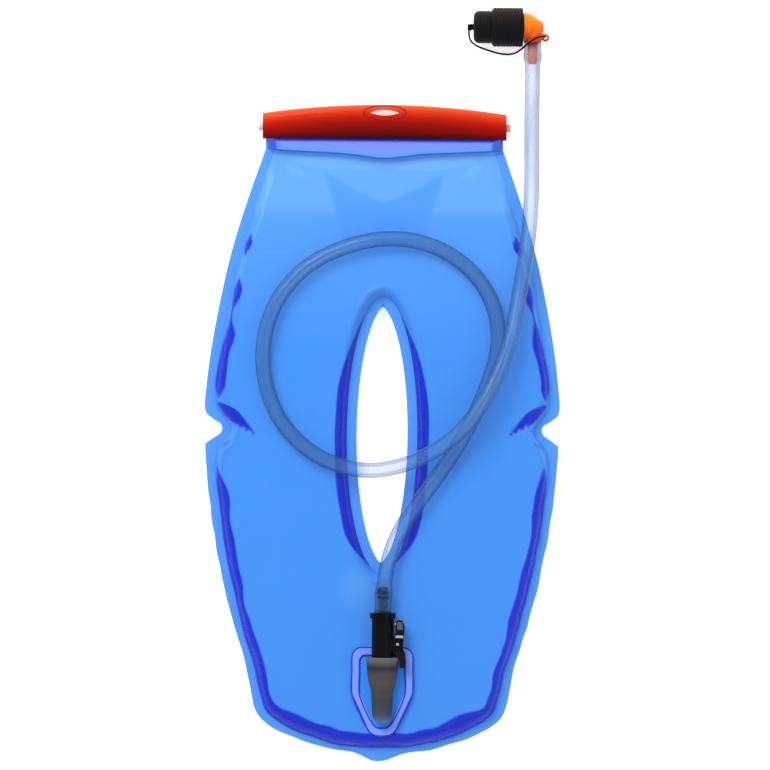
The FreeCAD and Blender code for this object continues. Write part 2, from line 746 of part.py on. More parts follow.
def mouthpiece():
    """The soft nipple over the nozzle, with a slit across its tip."""
    start = flange_x() - 0.3 - valve_body_length - 0.1
    outside = turned([
        (0, mouthpiece_radius), (2.5, mouthpiece_radius), (4.5, mouthpiece_tip_radius + 0.2),
        (mouthpiece_length - 4, mouthpiece_tip_radius + 0.8), (mouthpiece_length - 1, mouthpiece_tip_radius),
        (mouthpiece_length, mouthpiece_tip_radius - 1.6),
    ], (start, valve_y, valve_z), -X_AXIS)
    pocket = rod(valve_nozzle_radius + 0.02, (start + 1, valve_y, valve_z), -X_AXIS, valve_nozzle_length + 1)
    throat = rod(elbow_bore_radius + 0.5, (start, valve_y, valve_z), -X_AXIS, mouthpiece_length - 1.5)
    tip_x = start - mouthpiece_length
    slit = box_between((tip_x - 1, valve_y - 3, valve_z - 0.2), (tip_x + 3, valve_y + 3, valve_z + 0.2))
    return outside.cut(pocket).cut(throat).cut(slit)


def valve_cover():
    """The dust cover: a ribbed cap that slips over the mouthpiece and grips the valve body."""
    tip = cover_tip_x()
    outside = turned([
        (0, cover_tip_radius - 3.4), (0.8, cover_tip_radius - 1.6), (2.4, cover_tip_radius - 0.4),
        (4.5, cover_tip_radius), (12.0, cover_tip_radius + 0.6), (13.0, cover_radius - 0.7),
        (cover_length - 1, cover_radius), (cover_length, cover_radius - 0.8),
    ], (tip, valve_y, valve_z), X_AXIS)
    inside = turned([
        (cover_wall + 0.4, cover_tip_radius - cover_wall - 1), (4.5, cover_tip_radius - cover_wall),
        (cover_length - 5.5, cover_radius - cover_wall - 1), (cover_length - 5.5, valve_body_radius + cover_rib_clearance),
        (cover_length - 2.5, valve_body_radius + cover_rib_clearance), (cover_length - 2.5, cover_radius - cover_wall),
        (cover_length + 1, cover_radius - cover_wall),
    ], (tip, valve_y, valve_z), X_AXIS)
    return outside.cut(inside)


def main():
    os.makedirs("parts", exist_ok=True)
    front, back = front_and_back_film()
    save("front_film", front)
    save("back_film", back)
    builders = [
        mouth_rail, mouth_flap, closure_slider, outlet_port, poppet, poppet_seal, poppet_spring,
        coupler_body, coupler_oring, latch_lever, latch_pad, latch_pin, latch_spring,
        drinking_tube, valve_elbow, valve_oring, valve_body, mouthpiece, valve_cover, cover_tether, tether_knot,
    ]
    for build in builders:
        save(build.__name__, build())


main()
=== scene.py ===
# %% [markdown]
# # A hydration bladder in Blender
# The object is a flat water bag of blue welded film, with a slide-on closure, a plug-in drinking hose and a
# bite valve. The hard pieces come from a CAD model, which is loaded first and is never moved. What this
# lesson adds is everything soft and every finish: the inflated film, the hose and its tether, the ribbed
# cap, and the materials. +Y points up to the mouth, and the bag lies on z = 0. Blender's lengths are in
# metres here, and most sizes are written in millimetres and multiplied by MM.

# %% Load the CAD model
import math

import bpy
import numpy as np
from mathutils import Matrix, Vector, noise


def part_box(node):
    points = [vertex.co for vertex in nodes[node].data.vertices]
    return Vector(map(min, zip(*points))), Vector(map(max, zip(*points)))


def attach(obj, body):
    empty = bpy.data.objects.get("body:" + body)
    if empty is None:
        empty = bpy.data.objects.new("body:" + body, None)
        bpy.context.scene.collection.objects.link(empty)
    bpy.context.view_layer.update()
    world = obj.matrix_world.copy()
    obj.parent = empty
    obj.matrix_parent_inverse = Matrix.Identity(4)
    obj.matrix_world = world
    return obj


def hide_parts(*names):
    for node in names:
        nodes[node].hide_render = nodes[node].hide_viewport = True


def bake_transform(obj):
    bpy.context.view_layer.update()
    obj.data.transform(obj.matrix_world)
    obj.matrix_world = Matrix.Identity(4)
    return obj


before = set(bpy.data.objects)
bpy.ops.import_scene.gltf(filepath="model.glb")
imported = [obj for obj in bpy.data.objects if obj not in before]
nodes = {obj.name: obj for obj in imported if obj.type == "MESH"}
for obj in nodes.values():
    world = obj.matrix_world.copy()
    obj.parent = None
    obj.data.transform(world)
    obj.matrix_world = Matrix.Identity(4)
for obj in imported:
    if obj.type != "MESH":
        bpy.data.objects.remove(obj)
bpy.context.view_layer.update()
MM = 0.001

# %% [markdown]
# The camera looks straight down, from far away through a long lens, so that pieces of different heights
# keep their true proportions. A flat (orthographic) camera would do too, but a long lens still shows a
# little perspective, as a real one does. It is turned by half a degree, because the bag lies that much
# askew.

# %% Camera
VIEW_WIDTH = 477.4 * MM
VIEW_CENTRE = (1.6 * MM, 29.8 * MM)
VIEW_LEVEL = 12.0 * MM  # the height at which the view is VIEW_WIDTH across
CAMERA_TURN = math.radians(0.5)
LENS = 300.0
FAR_CLIP = 20.0

camera_data = bpy.data.cameras.new("camera")
camera_data.lens = LENS
camera_data.clip_end = FAR_CLIP
camera = bpy.data.objects.new("camera", camera_data)
bpy.context.scene.collection.objects.link(camera)
camera.location = (*VIEW_CENTRE, VIEW_WIDTH * LENS / camera_data.sensor_width + VIEW_LEVEL)
camera.rotation_euler = (0, 0, CAMERA_TURN)
bpy.context.scene.camera = camera
print("camera at", [round(v, 3) for v in camera.location])

# %% [markdown]
# Operators act on everything that is selected, and loading leaves the CAD nodes selected. So a few small
# helpers keep each piece's making separate: one selects a single object, one makes a mesh object from
# points and faces, and two put an object's place and its modifiers into its mesh.


# %% Helpers for objects
def only(piece):
    """Selects one object and makes it the active one."""
    if bpy.context.object and bpy.context.object.mode != "OBJECT":
        bpy.ops.object.mode_set(mode="OBJECT")
    bpy.ops.object.select_all(action="DESELECT")
    piece.select_set(True)
    bpy.context.view_layer.objects.active = piece


def mesh_piece(name, points, faces):
    """A new object from points, in metres, and faces."""
    mesh = bpy.data.meshes.new(name)
    mesh.from_pydata([tuple(p) for p in points], [], faces)
    piece = bpy.data.objects.new(name, mesh)
    bpy.context.scene.collection.objects.link(piece)
    return piece


def settle(piece):
    """Puts an object's place, turn and scale into its mesh."""
    only(piece)
    bpy.ops.object.transform_apply(location=True, rotation=True, scale=True)
    return piece


def apply_modifiers(piece):
    """Puts an object's modifiers into its mesh, from the first to the last."""
    only(piece)
    for modifier in list(piece.modifiers):
        bpy.ops.object.modifier_apply(modifier=modifier.name)
    return piece


# %% [markdown]
# ## Cords first
# The drinking hose leaves the coupler, makes one loop on the bag, rises over itself and ends in the bite
# valve. Its line is a NURBS spline of order 3, which is smooth and stays inside the corners of the route. A
# curve with a round bevel would do for a plain hose, but this one is stretched wider over the barbs at its
# ends. So the tube is a mesh that follows points read from a bare copy of the spline, with a radius at each
# point.


# %% A tube along a smooth line
def spline_points(route, resolution=12):
    """The points of a route's smooth line, in metres."""
    data = bpy.data.curves.new("route", "CURVE")
    data.dimensions = "3D"
    data.resolution_u = resolution
    spline = data.splines.new("NURBS")
    spline.points.add(len(route) - 1)
    for point, (x, y, z) in zip(spline.points, route):
        point.co = (x * MM, y * MM, z * MM, 1.0)
    spline.order_u = 3
    spline.use_endpoint_u = True
    bare = bpy.data.objects.new("route", data)
    mesh = bpy.data.meshes.new_from_object(bare)
    line = [v.co.copy() for v in mesh.vertices]
    bpy.data.meshes.remove(mesh)
    bpy.data.curves.remove(data)
    return line


def tube_mesh(name, line, radius_at, sides=12):
    """A closed tube round a line of points. radius_at gives the radius at a distance along the line."""
    points, faces = [], []
    side, along_line = None, 0.0
    for i, centre in enumerate(line):
        if i:
            along_line += (centre - line[i - 1]).length
        along = (line[min(i + 1, len(line) - 1)] - line[max(i - 1, 0)]).normalized()
        if side is None:
            side = along.orthogonal()
        side = (side - along * side.dot(along)).normalized()
        up = along.cross(side)
        for k in range(sides):
            turn = 2 * math.pi * k / sides
            spoke = side * math.cos(turn) + up * math.sin(turn)
            points.append(centre + spoke * radius_at(along_line))
    for i in range(len(line) - 1):
        for k in range(sides):
            a, b = i * sides + k, i * sides + (k + 1) % sides
            faces.append((a, b, b + sides, a + sides))
    faces.append(tuple(reversed(range(sides))))
    faces.append(tuple((len(line) - 1) * sides + k for k in range(sides)))
    piece = mesh_piece(name, points, faces)
    for polygon in piece.data.polygons:
        polygon.use_smooth = len(polygon.vertices) == 4
    return piece


def length_of(line):
    """The length of a line of points, in metres."""
    return sum((b - a).length for a, b in zip(line, line[1:]))


# %% [markdown]
# The hose is a clear soft tube. It is stretched over a barb at each end, where it swells and shows a ring. A
# second tube inside it, smaller by the wall, stands for the bore's surface, so that the wall reads as clear
# plastic of some thickness.

# %% The hose
PORT_X, PORT_Z = 1.5, 28.0
HOSE_BED = 25.2  # the height at which the hose's middle lies on the bag
ELBOW_X, VALVE_Y, VALVE_Z = 91.3, 252.2, 12.6
HOSE_DIAMETER, HOSE_BORE = 9.5, 6.4
HOSE_SIDES, BORE_SIDES = 36, 28
FLARE, RING = 0.45, 0.55
LOWER_BARB, UPPER_BARB = 17.5, 12.0
LOWER_RING, UPPER_RING = (11.5, 1.1), (8.0, 2.0)

# The hose's route in millimetres
HOSE_ROUTE = [
    (PORT_X, -111.0, PORT_Z),
    (PORT_X, -91.0, PORT_Z),
    (9.0, -62.0, HOSE_BED),
    (30.0, -33.0, HOSE_BED),
    (48.5, -6.0, HOSE_BED),
    (63.0, 24.0, HOSE_BED),
    (73.5, 57.0, HOSE_BED),
    (66.0, 89.0, HOSE_BED),
    (42.0, 112.5, HOSE_BED),
    (10.0, 122.0, HOSE_BED),
    (-23.0, 116.5, HOSE_BED),
    (-52.0, 101.0, HOSE_BED),
    (-71.0, 74.0, HOSE_BED),
    (-75.5, 41.0, HOSE_BED),
    (-66.0, 9.0, HOSE_BED),
    (-43.0, -14.5, HOSE_BED),
    (-11.5, -25.0, HOSE_BED),
    (20.0, -18.5, 31.0),
    (49.0, 0.0, 39.0),
    (67.5, 28.0, 39.0),
    (79.5, 59.0, 33.0),
    (85.0, 92.0, 26.5),
    (89.8, 122.5, 25.0),
    (91.5, 150.0, 16.0),
    (91.5, 176.0, 6.2),
    (ELBOW_X, 198.0, 5.6),
    (ELBOW_X, 219.8, VALVE_Z),
    (ELBOW_X, 242.3, VALVE_Z),
]
hose_line = spline_points(HOSE_ROUTE, 18)
hose_length = length_of(hose_line)


def fade(edge, distance, width=1.6 * MM):
    """1 well inside an edge, 0 well outside it."""
    return 0.5 - 0.5 * math.tanh((distance - edge) / width)


def bulge(distance, place, reach):
    """1 at a place, fading to 0 within about twice its reach, both in millimetres."""
    return math.exp(-((distance - place * MM) / (reach * MM)) ** 2)


def hose_radius(distance):
    """The hose swells over its two barbs, with a ring where each barb is widest."""
    from_end = hose_length - distance
    swell = fade(LOWER_BARB * MM, distance) + fade(UPPER_BARB * MM, from_end)
    rings = bulge(distance, *LOWER_RING) + bulge(from_end, *UPPER_RING)
    return (HOSE_DIAMETER / 2 + FLARE * swell + RING * rings) * MM


def bore_radius(distance):
    """The hose's radius less its wall."""
    return hose_radius(distance) - (HOSE_DIAMETER - HOSE_BORE) / 2 * MM


hose = tube_mesh("hose", hose_line, hose_radius, HOSE_SIDES)
hose_bore = tube_mesh("hose_bore", hose_line, bore_radius, BORE_SIDES)
for piece in (hose, hose_bore):
    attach(piece, "hose")
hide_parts("drinking_tube")
print("hose", round(hose_length, 3), "m")

# %% [markdown]
# The tether is a thin black cord. It is knotted at the cap's tip, hangs below the cap in a slack loop,
# passes over the hose and ends in the elbow's eye. It joins two bodies that slide apart, so it has to be a
# mesh that can bend between them. The tube follows points read from a bare copy of the same kind of spline.

# %% Tether
TETHER_ROUTE = [
    (51.8, 251.0, 12.2),
    (51.4, 245.5, 8.5),
    (55.5, 241.4, 3.2),
    (63.0, 238.6, 1.4),
    (72.0, 236.0, 1.6),
    (79.5, 235.8, 5.2),
    (84.4, 238.6, 14.5),
    (89.4, 243.0, 21.2),
    (95.6, 246.6, 21.0),
    (99.2, 246.2, 14.6),
]
TETHER_DIAMETER = 1.2

tether_line = spline_points(TETHER_ROUTE)
tether = tube_mesh("tether", tether_line, lambda distance: TETHER_DIAMETER / 2 * MM)
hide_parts("cover_tether")
print("tether", round(length_of(tether_line), 4), "m")

# %% [markdown]
# ## The film
# The bag is two sheets of film welded together all round the rim and all round the slot. A cloth simulation
# would inflate it, but it also wrinkles where it likes. Here the sheet is lofted instead: rings of points
# run round the bag, from the cut rim, over the flat weld and up the steep wall, across the top and down to
# the slot. The puckers come from walls whose width changes along the weld.


# %% Outline curves
# The right half of the cut rim and of its weld, from the neck down to the foot, in millimetres
RIM_HALF = [
    (73.5, 176.0), (86.2, 139.0), (94.9, 109.1), (101.4, 79.4), (106.6, 49.7), (109.6, 24.0), (109.9, 14.6),
    (108.2, 10.6), (103.9, 7.4), (100.4, 4.9), (99.4, 2.2), (100.4, -0.5), (103.9, -3.0), (108.2, -6.2),
    (109.8, -10.2), (107.3, -39.7), (101.4, -76.9), (92.7, -114.2), (83.0, -146.5), (79.5, -165.0),
    (73.9, -178.3), (56.0, -188.4), (32.6, -196.0), (17.5, -198.6), (10.0, -201.2), (4.5, -203.2),
]
WELD_HALF = [
    (67.6, 176.0), (80.4, 137.4), (89.2, 107.5), (95.8, 78.0), (100.9, 49.0), (103.8, 28.6), (102.2, 15.0),
    (94.4, 2.2), (102.0, -10.5), (103.6, -24.0), (101.4, -41.0), (95.7, -78.3), (87.1, -115.6),
    (77.4, -147.6), (73.8, -163.6), (69.4, -173.6), (53.9, -183.0), (31.4, -190.5), (12.0, -193.6),
]
MOUTH_Y = 186.0
MOUTH_HALF, WELD_MOUTH_HALF = 73.5, 67.6
RIM_POINTS = 470


def through(points, per_span=24):
    """A smooth open line through points, by Catmull and Rom's rule."""
    p = np.array(points, float)
    p = np.vstack([2 * p[0] - p[1], p, 2 * p[-1] - p[-2]])
    line = []
    for a, b, c, d in zip(p, p[1:], p[2:], p[3:]):
        for t in np.arange(per_span) / per_span:
            line.append(0.5 * (2 * b + (c - a) * t + (2 * a - 5 * b + 4 * c - d) * t ** 2
                               + (3 * b - a - 3 * c + d) * t ** 3))
    line.append(p[-2])
    return np.array(line)


def evenly(line, count, closed=True, weight=lambda points: 1.0):
    """The line again, with so many points evenly along it, or closer together where the weight is high."""
    if closed:
        line = np.vstack([line, line[:1]])
    steps = np.linalg.norm(np.diff(line, axis=0), axis=1) * weight((line[1:] + line[:-1]) / 2)
    along = np.concatenate([[0], np.cumsum(steps)])
    at = np.linspace(0, along[-1], count, endpoint=not closed)
    return np.stack([np.interp(at, along, line[:, k]) for k in range(2)], axis=1)


def mirrored(half, mouth_half):
    """A closed outline from its right half, going clockwise from the middle of the mouth."""
    side = through(half + [(0.0, half[-1][1] - 0.3)])
    right = np.vstack([[(0.0, MOUTH_Y), (mouth_half, MOUTH_Y)], side])
    left = right[1:-1][::-1] * (-1, 1)
    return np.vstack([right, left])


def smoothed(values, times=1):
    """Values round a loop, each averaged with its two neighbours, as many times over."""
    for _ in range(times):
        values = (np.roll(values, 1, axis=0) + 2 * values + np.roll(values, -1, axis=0)) / 4
    return values


def nearest_on(line, points, count=6000):
    """For each point, the nearest point of a closed line, with the steps along the line evened out."""
    fine, half = evenly(line, count), count // 2
    index = np.array([np.argmin(((fine - p) ** 2).sum(axis=1)) for p in points])
    steps = (np.diff(np.concatenate([index, index[:1]])) + half) % count - half
    steps = smoothed(np.maximum(steps, 0).astype(float), 30)
    index = index[0] + np.concatenate([[0], np.cumsum(steps)[:-1]]) * count / max(steps.sum(), 1)
    return fine[np.round(index).astype(int) % count]


def inward(line):
    """Unit normals of a closed clockwise line, pointing into it, smoothed."""
    along = np.roll(line, -1, axis=0) - np.roll(line, 1, axis=0)
    normal = smoothed(np.stack([along[:, 1], -along[:, 0]], axis=1), 6)
    return normal / np.linalg.norm(normal, axis=1)[:, None]


NOTCH_Y, NOTCH_REACH, NOTCH_CROWDING, NOTCH_SIDE = 2.2, 9.0, 3.5, 60.0


def close_at_notches(points):
    """The fold beside each notch is the smallest feature, so the columns of points are closest there."""
    near = np.exp(-((points[:, 1] - NOTCH_Y) / NOTCH_REACH) ** 2) * (np.abs(points[:, 0]) > NOTCH_SIDE)
    return 1 + NOTCH_CROWDING * near


rim = evenly(mirrored(RIM_HALF, MOUTH_HALF), RIM_POINTS, weight=close_at_notches)
weld = nearest_on(mirrored(WELD_HALF, WELD_MOUTH_HALF), rim)
print("rim runs", round(float(np.linalg.norm(np.diff(rim, axis=0), axis=1).sum())), "mm")

# %% [markdown]
# The wall's width wanders, as film does beside a weld that holds it shorter than the water inside wants.
# Smooth noise along the rim gives the wander, the same on every run, and the cut rim gets a faint scallop
# low down. Each waver below is its size, the length of its waves, both in millimetres, and the noise's
# seed.

# %% Rim, weld and wall
SLOT_Y, SLOT_LONG, SLOT_WIDE, SLOT_WELD = -1.2, 79.4, 15.8, 6.2
WALL, BOTTOM_WALL, SLOT_WALL = 6.2, 3.6, 7.2
RIM_INSET, BOTTOM_WELD_OUT = 0.3, 1.6
SCALLOP, WELD_WAVER, SLOT_WAVER = (0.55, 13.0, 3.7), (0.5, 11.0, 5.5), (0.35, 22.0, 2.2)
BROAD_PUCKER, FINE_PUCKER = (1.7, 15.0, 1.3), (0.8, 6.0, 8.1)
NOISE_STRETCH = 1.6


def wander(position, size, scale, seed):
    """Smooth noise between about -size and size, at places on the bag."""
    waves = [noise.noise(Vector((x / scale, y / scale, seed))) for x, y in position]
    return np.array(waves) * NOISE_STRETCH * size


def smoothstep(low, high, value):
    """0 at low, 1 at high and a soft step between them."""
    t = np.clip((value - low) / (high - low), 0, 1)
    return t * t * (3 - 2 * t)


low_down = smoothstep(10, -60, rim[:, 1])
rim_shift = RIM_INSET * (low_down >= 0.01) + low_down * wander(rim, *SCALLOP)
rim = rim + inward(rim) * rim_shift[:, None]
bottom = smoothstep(-168, -186, weld[:, 1])
wall_width = WALL + wander(weld, *BROAD_PUCKER) + wander(weld, *FINE_PUCKER) + BOTTOM_WALL * bottom
weld_shift = low_down * wander(weld, *WELD_WAVER) - BOTTOM_WELD_OUT * bottom
weld = weld + inward(weld) * weld_shift[:, None]
wall_top = smoothed(weld + inward(weld) * wall_width[:, None], 3)

# The wall's top has a hard corner on each side of the mouth, which would show as a crease across the film
from_corner = np.hypot(np.abs(wall_top[:, 0]) - WELD_MOUTH_HALF, wall_top[:, 1] - MOUTH_Y)
near_corner = smoothstep(30, 12, from_corner)[:, None]
for _ in range(60):
    even = (np.roll(wall_top, 1, axis=0) + np.roll(wall_top, -1, axis=0)) / 2
    wall_top = wall_top + (even - wall_top) * near_corner * 0.5


def ellipse(grow, count):
    """The slot's outline, grown by some millimetres, clockwise from its top."""
    turn = np.linspace(0, 2 * math.pi, count, endpoint=False)
    x, y = (SLOT_WIDE + grow) * np.sin(turn), SLOT_Y + (SLOT_LONG + grow) * np.cos(turn)
    return np.stack([x, y], axis=1)


slot_weld = nearest_on(ellipse(SLOT_WELD, 4000), wall_top)
slot_out = -inward(slot_weld)
slot_turn = np.arctan2(slot_weld[:, 0] / SLOT_WIDE, (slot_weld[:, 1] - SLOT_Y) / SLOT_LONG)
slot_rim = slot_weld - slot_out * SLOT_WELD
slot_wall = slot_weld + slot_out * (SLOT_WALL + wander(slot_weld, *SLOT_WAVER))[:, None]
print("wall", [round(float(f(wall_width)), 1) for f in (np.min, np.max)], "mm wide")

# %% [markdown]
# Where the film stands steep beside a weld it looks deep blue, because one looks through a long way of it
# and the steep wall lies in shade; here that deep blue is painted shade.
# On the real bag this band is ragged, pinched in places near the neck, and ends at the side notches, where
# a fold runs inward. A shader can't know where the weld is, so these tones are worked out here, at each
# point of the mesh, and the film's finish reads them.

# %% Thickness, folds and tones
HALF_THICKNESS, NECK_FLATNESS = 10.0, 0.985
TAPER_START, TAPER_END = 99.0, 174.0
PINCH_Y, PINCH_PITCH, PINCH_DEPTH = 87.0, 31.5, 1.05

# Heights between which a tone comes in or goes out
ABOVE_NOTCH, BELOW_NOTCH, PINCHES, BAND_TOP, BAND_THINS = (14, 30), (-8, -40), (40, 104), (130, 116), (35, 70)
NECK_STEPS = ((0.25, 40, 118), (0.35, 134, 140), (0.15, 118, 160))

# The winged patch of painted shade: half its width, how much it leans out, its middle, and its curved top
WING_HALF, WING_LEAN, WING_Y, WING_TOP, WING_RISE, WING_WIDE = 26.0, 0.28, 122.0, 142.8, 18.0, 36.0
# Painted highlights: pale waves under the mouth, and a painted glint low on the bag
MOUTH_HIGHLIGHTS = ((0.8, (57, 168.5), (6, 164), 2.6, 0.5, 0.9), (0.3, (60, 166), (48, 158), 3.0, 0.4, 1.5))
GLINT, GLOSS_X, GLOSS_Y = 0.25, -14.0, -96.0


def taper(y):
    """The share of full thickness that is left on the way up to the mouth."""
    return 1 - NECK_FLATNESS * smoothstep(TAPER_START, TAPER_END, y)


def leaf(points, a, b, wide, peak=0.35, soft=0.5):
    """1 inside a leaf-shaped fold from a to b on both sides of the bag, 0 outside. It is widest at its
    peak, a share of the way along, and fades over a soft edge."""
    p = np.stack([np.abs(points[:, 0]), points[:, 1]], axis=1)
    a, b = np.array(a, float), np.array(b, float)
    t = np.clip((p - a) @ (b - a) / ((b - a) @ (b - a)), 0, 1)
    off = np.linalg.norm(p - a - t[:, None] * (b - a), axis=1)
    rising = 0.35 + 0.65 * np.sin(t / peak * math.pi / 2)
    falling = np.clip(1 - (t - peak) / (1 - peak), 0, 1) ** 0.85
    half = wide * np.where(t < peak, rising, falling)
    return 1 - smoothstep(half - soft, half + soft, off)


def edge_wall_shade(share):
    """How deep the painted shade is, as deep blue, at a share of the way up the wall beside the rim's weld.
    """
    y = weld[:, 1]
    clear_of_notch = np.clip(smoothstep(*ABOVE_NOTCH, y) + smoothstep(*BELOW_NOTCH, y), 0, 1)
    pinch = 0.5 - 0.5 * np.cos(2 * math.pi * (y - PINCH_Y) / PINCH_PITCH)
    pinched = np.clip(1 - PINCH_DEPTH * pinch * smoothstep(*PINCHES, y), 0, 1)
    width = clear_of_notch * pinched * smoothstep(*BAND_TOP, y)
    outer = 0.5 - 0.5 * width + 0.22 * smoothstep(*BAND_THINS, y) * width
    inner = 0.12 + 0.88 * width
    above = smoothstep(outer - 0.06, outer + 0.06, share)
    below = smoothstep(inner + 0.04, inner - 0.04, share)
    return above * below * smoothstep(0.05, 0.2, width)


def slot_wall_shade(share):
    """The same painted shade beside the slot, where the band tapers to a point at both ends of the slot."""
    reach = smoothstep(0.86, 0.15, np.cos(slot_turn)) * smoothstep(-0.96, -0.55, np.cos(slot_turn))
    return smoothstep(reach + 0.05, reach - 0.05, share) * (reach > 0.03)


def wall_height(share):
    """How high the wall has risen at a share of its width: steep at the weld, level at the top."""
    return (1 - (1 - share) ** 2.3) ** 0.85


def pale_and_painted_light_tone(line):
    """Where the film up by the neck is paler, with a darker winged patch of painted shade, painted highlights
    in pale waves under the mouth and a painted glint low on the bag.
    """
    x, y = np.abs(line[:, 0]), line[:, 1]
    upper = sum(step * smoothstep(low, high, y) for step, low, high in NECK_STEPS)
    wing_side = smoothstep(1.2, -1.2, x - WING_HALF - (y - WING_Y) * WING_LEAN)
    wing_top = smoothstep(1.5, -1.5, y - WING_TOP - WING_RISE * (x / WING_WIDE) ** 1.2)
    wing = wing_side * wing_top * smoothstep(95, 118, y)
    waves = sum(strength * leaf(line, *fold) for strength, *fold in MOUTH_HIGHLIGHTS)
    glint_spot = GLINT * smoothstep(16, 4, np.hypot(line[:, 0] - GLOSS_X, (y - GLOSS_Y) * 0.8))
    return np.clip(upper * (1 - 0.6 * wing) + waves + glint_spot, 0, 1)


# %% [markdown]
# Now the rings are listed from the cut rim inward to the slot. Each is a line of points, a height above the
# weld's plane as a share of the full height, a deep tone of painted shade and a weld tone. Rings lie close
# together where the surface turns, which is up the two walls, and further apart across the flat top.

# %% List the rings
WALL_SHARES = (0.0, 0.03, 0.08, 0.15, 0.23, 0.32, 0.42, 0.52, 0.62, 0.72, 0.82, 0.91, 1.0)
INNER_RINGS, INNER_CROWDING, INNER_MARGIN = 68, 0.6, 0.006
NO_TONE, RIM_SHADE = np.zeros(RIM_POINTS), 0.4
BEND = 0.25  # how far outside its weld the film starts to rise


def mixed(first, second, share):
    """A line at a share of the way from one line to another."""
    return first * (1 - share) + second * share


rings = [(rim, 0.0, NO_TONE + RIM_SHADE, 0.0), (mixed(rim, weld, 0.07), 0.0, NO_TONE, 1.0)]
rings += [(mixed(rim, weld, 0.5), 0.0, NO_TONE, 1.0), (weld - inward(weld) * BEND, 0.0, NO_TONE, 1.0)]
for share in WALL_SHARES:
    rings.append((mixed(weld, wall_top, share), wall_height(share), edge_wall_shade(share), 0.0))
for k in range(INNER_RINGS + 1):
    t = k / INNER_RINGS
    t -= INNER_CROWDING * math.sin(2 * math.pi * t) / (2 * math.pi)
    t = INNER_MARGIN + (1 - 2 * INNER_MARGIN) * t
    rings.append((mixed(wall_top, slot_wall, t), 1.0, NO_TONE, 0.0))
for share in reversed(WALL_SHARES):
    rings.append((mixed(slot_weld, slot_wall, share), wall_height(share), slot_wall_shade(share), 0.0))
rings.append((slot_weld - slot_out * BEND, 0.0, NO_TONE, 1.0))
rings += [(mixed(slot_weld, slot_rim, share), 0.0, NO_TONE, 1.0) for share in (0.5, 0.93)]
rings.append((slot_rim, 0.0, NO_TONE, 0.0))
print(len(rings), "rings of", RIM_POINTS, "points")

# %% [markdown]
# The two sheets share their rings. The front one rises from the weld's plane, the back one goes down from
# it, and each sags a little in its own places between the welds. Solidify gives each sheet its thickness on
# the inner side, so that the outer faces stay where the rings are.

# %% Build the two sheets
FILM_THICK, WELD_GAP, RISE_SHARE = 0.4, 0.45, 0.955
SAG, SAG_MOST, SAG_WAVER, SAG_SEED = 0.35, 0.8, (0.3, 38.0), 4.2
# The fold at each notch is lowered and darkened with painted shade; the crease below it is only a line of
# painted shade
NOTCH_FOLD, FOLD_DEPTH = ((100.5, 17.0), (78.5, -1.2), 3.7, 0.42), 1.4
NOTCH_CREASE = ((99.0, -9.0), (93.0, -4.5), 1.0, 0.4, 0.6)


def set_tones(piece, tones, names):
    """Writes each point's tones to the mesh, one attribute for each name."""
    for column, name in enumerate(names):
        attribute = piece.data.attributes.new(name, "FLOAT", "POINT")
        attribute.data.foreach_set("value", [tone[column] for tone in tones])


def thicken(piece, thickness, offset):
    """Gives a sheet its thickness, in metres, and smooth shading."""
    solidify = piece.modifiers.new("thickness", "SOLIDIFY")
    solidify.thickness = thickness
    solidify.offset = offset
    apply_modifiers(piece)
    bpy.ops.object.shade_smooth()


def film_piece(name, side):
    """One sheet. side is 1 for the front and -1 for the back."""
    points, tones, faces = [], [], []
    count = RIM_POINTS
    for line, height, deep, weld_tone in rings:
        thinned = taper(line[:, 1])
        sag = np.clip(SAG + wander(line, *SAG_WAVER, SAG_SEED * side), 0.0, SAG_MOST)
        sag = sag * thinned * (height == 1.0)
        z = HALF_THICKNESS + side * (WELD_GAP + (height * HALF_THICKNESS * thinned - sag) * RISE_SHARE)
        fold = leaf(line, *NOTCH_FOLD) * (1 - weld_tone)
        crease = leaf(line, *NOTCH_CREASE) * 0.5 * (1 - weld_tone)
        z = z - side * FOLD_DEPTH * fold * height
        points += [(x * MM, y * MM, h * MM) for (x, y), h in zip(line, z)]
        # The tones: painted shade of the wall, fold and crease, the weld tone, and the paleness with its
        # painted light
        tones += list(zip(np.maximum(deep, np.maximum(fold, crease)), [weld_tone] * count, pale_and_painted_light_tone(line)))
    for r in range(len(rings) - 1):
        for k in range(count):
            a, b = r * count + k, r * count + (k + 1) % count
            face = (a, b, b + count, a + count)
            faces.append(face[::-1] if side > 0 else face)
    piece = mesh_piece(name, points, faces)
    set_tones(piece, tones, ("painted_shade_tone", "weld_tone", "pale_and_painted_light_tone"))
    thicken(piece, FILM_THICK * MM, -1.0)
    return piece


front_film = film_piece("front_film_sheet", 1)
back_film = film_piece("back_film_sheet", -1)
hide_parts("front_film")
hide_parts("back_film")
for piece in (front_film, back_film):
    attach(piece, "reservoir")
    print(piece.name, len(piece.data.polygons), "faces")

# %% [markdown]
# ## Finishes
# A moulded or extruded surface is never perfectly even. One shader group makes fine grain for every plastic
# here: it takes a scale and a strength, and gives a roughness and a normal.


# %% Shader helpers
def add_node(tree, kind, **values):
    """A new node of a kind, with its settings."""
    node = tree.nodes.new(kind)
    for name, value in values.items():
        setattr(node, name, value)
    return node


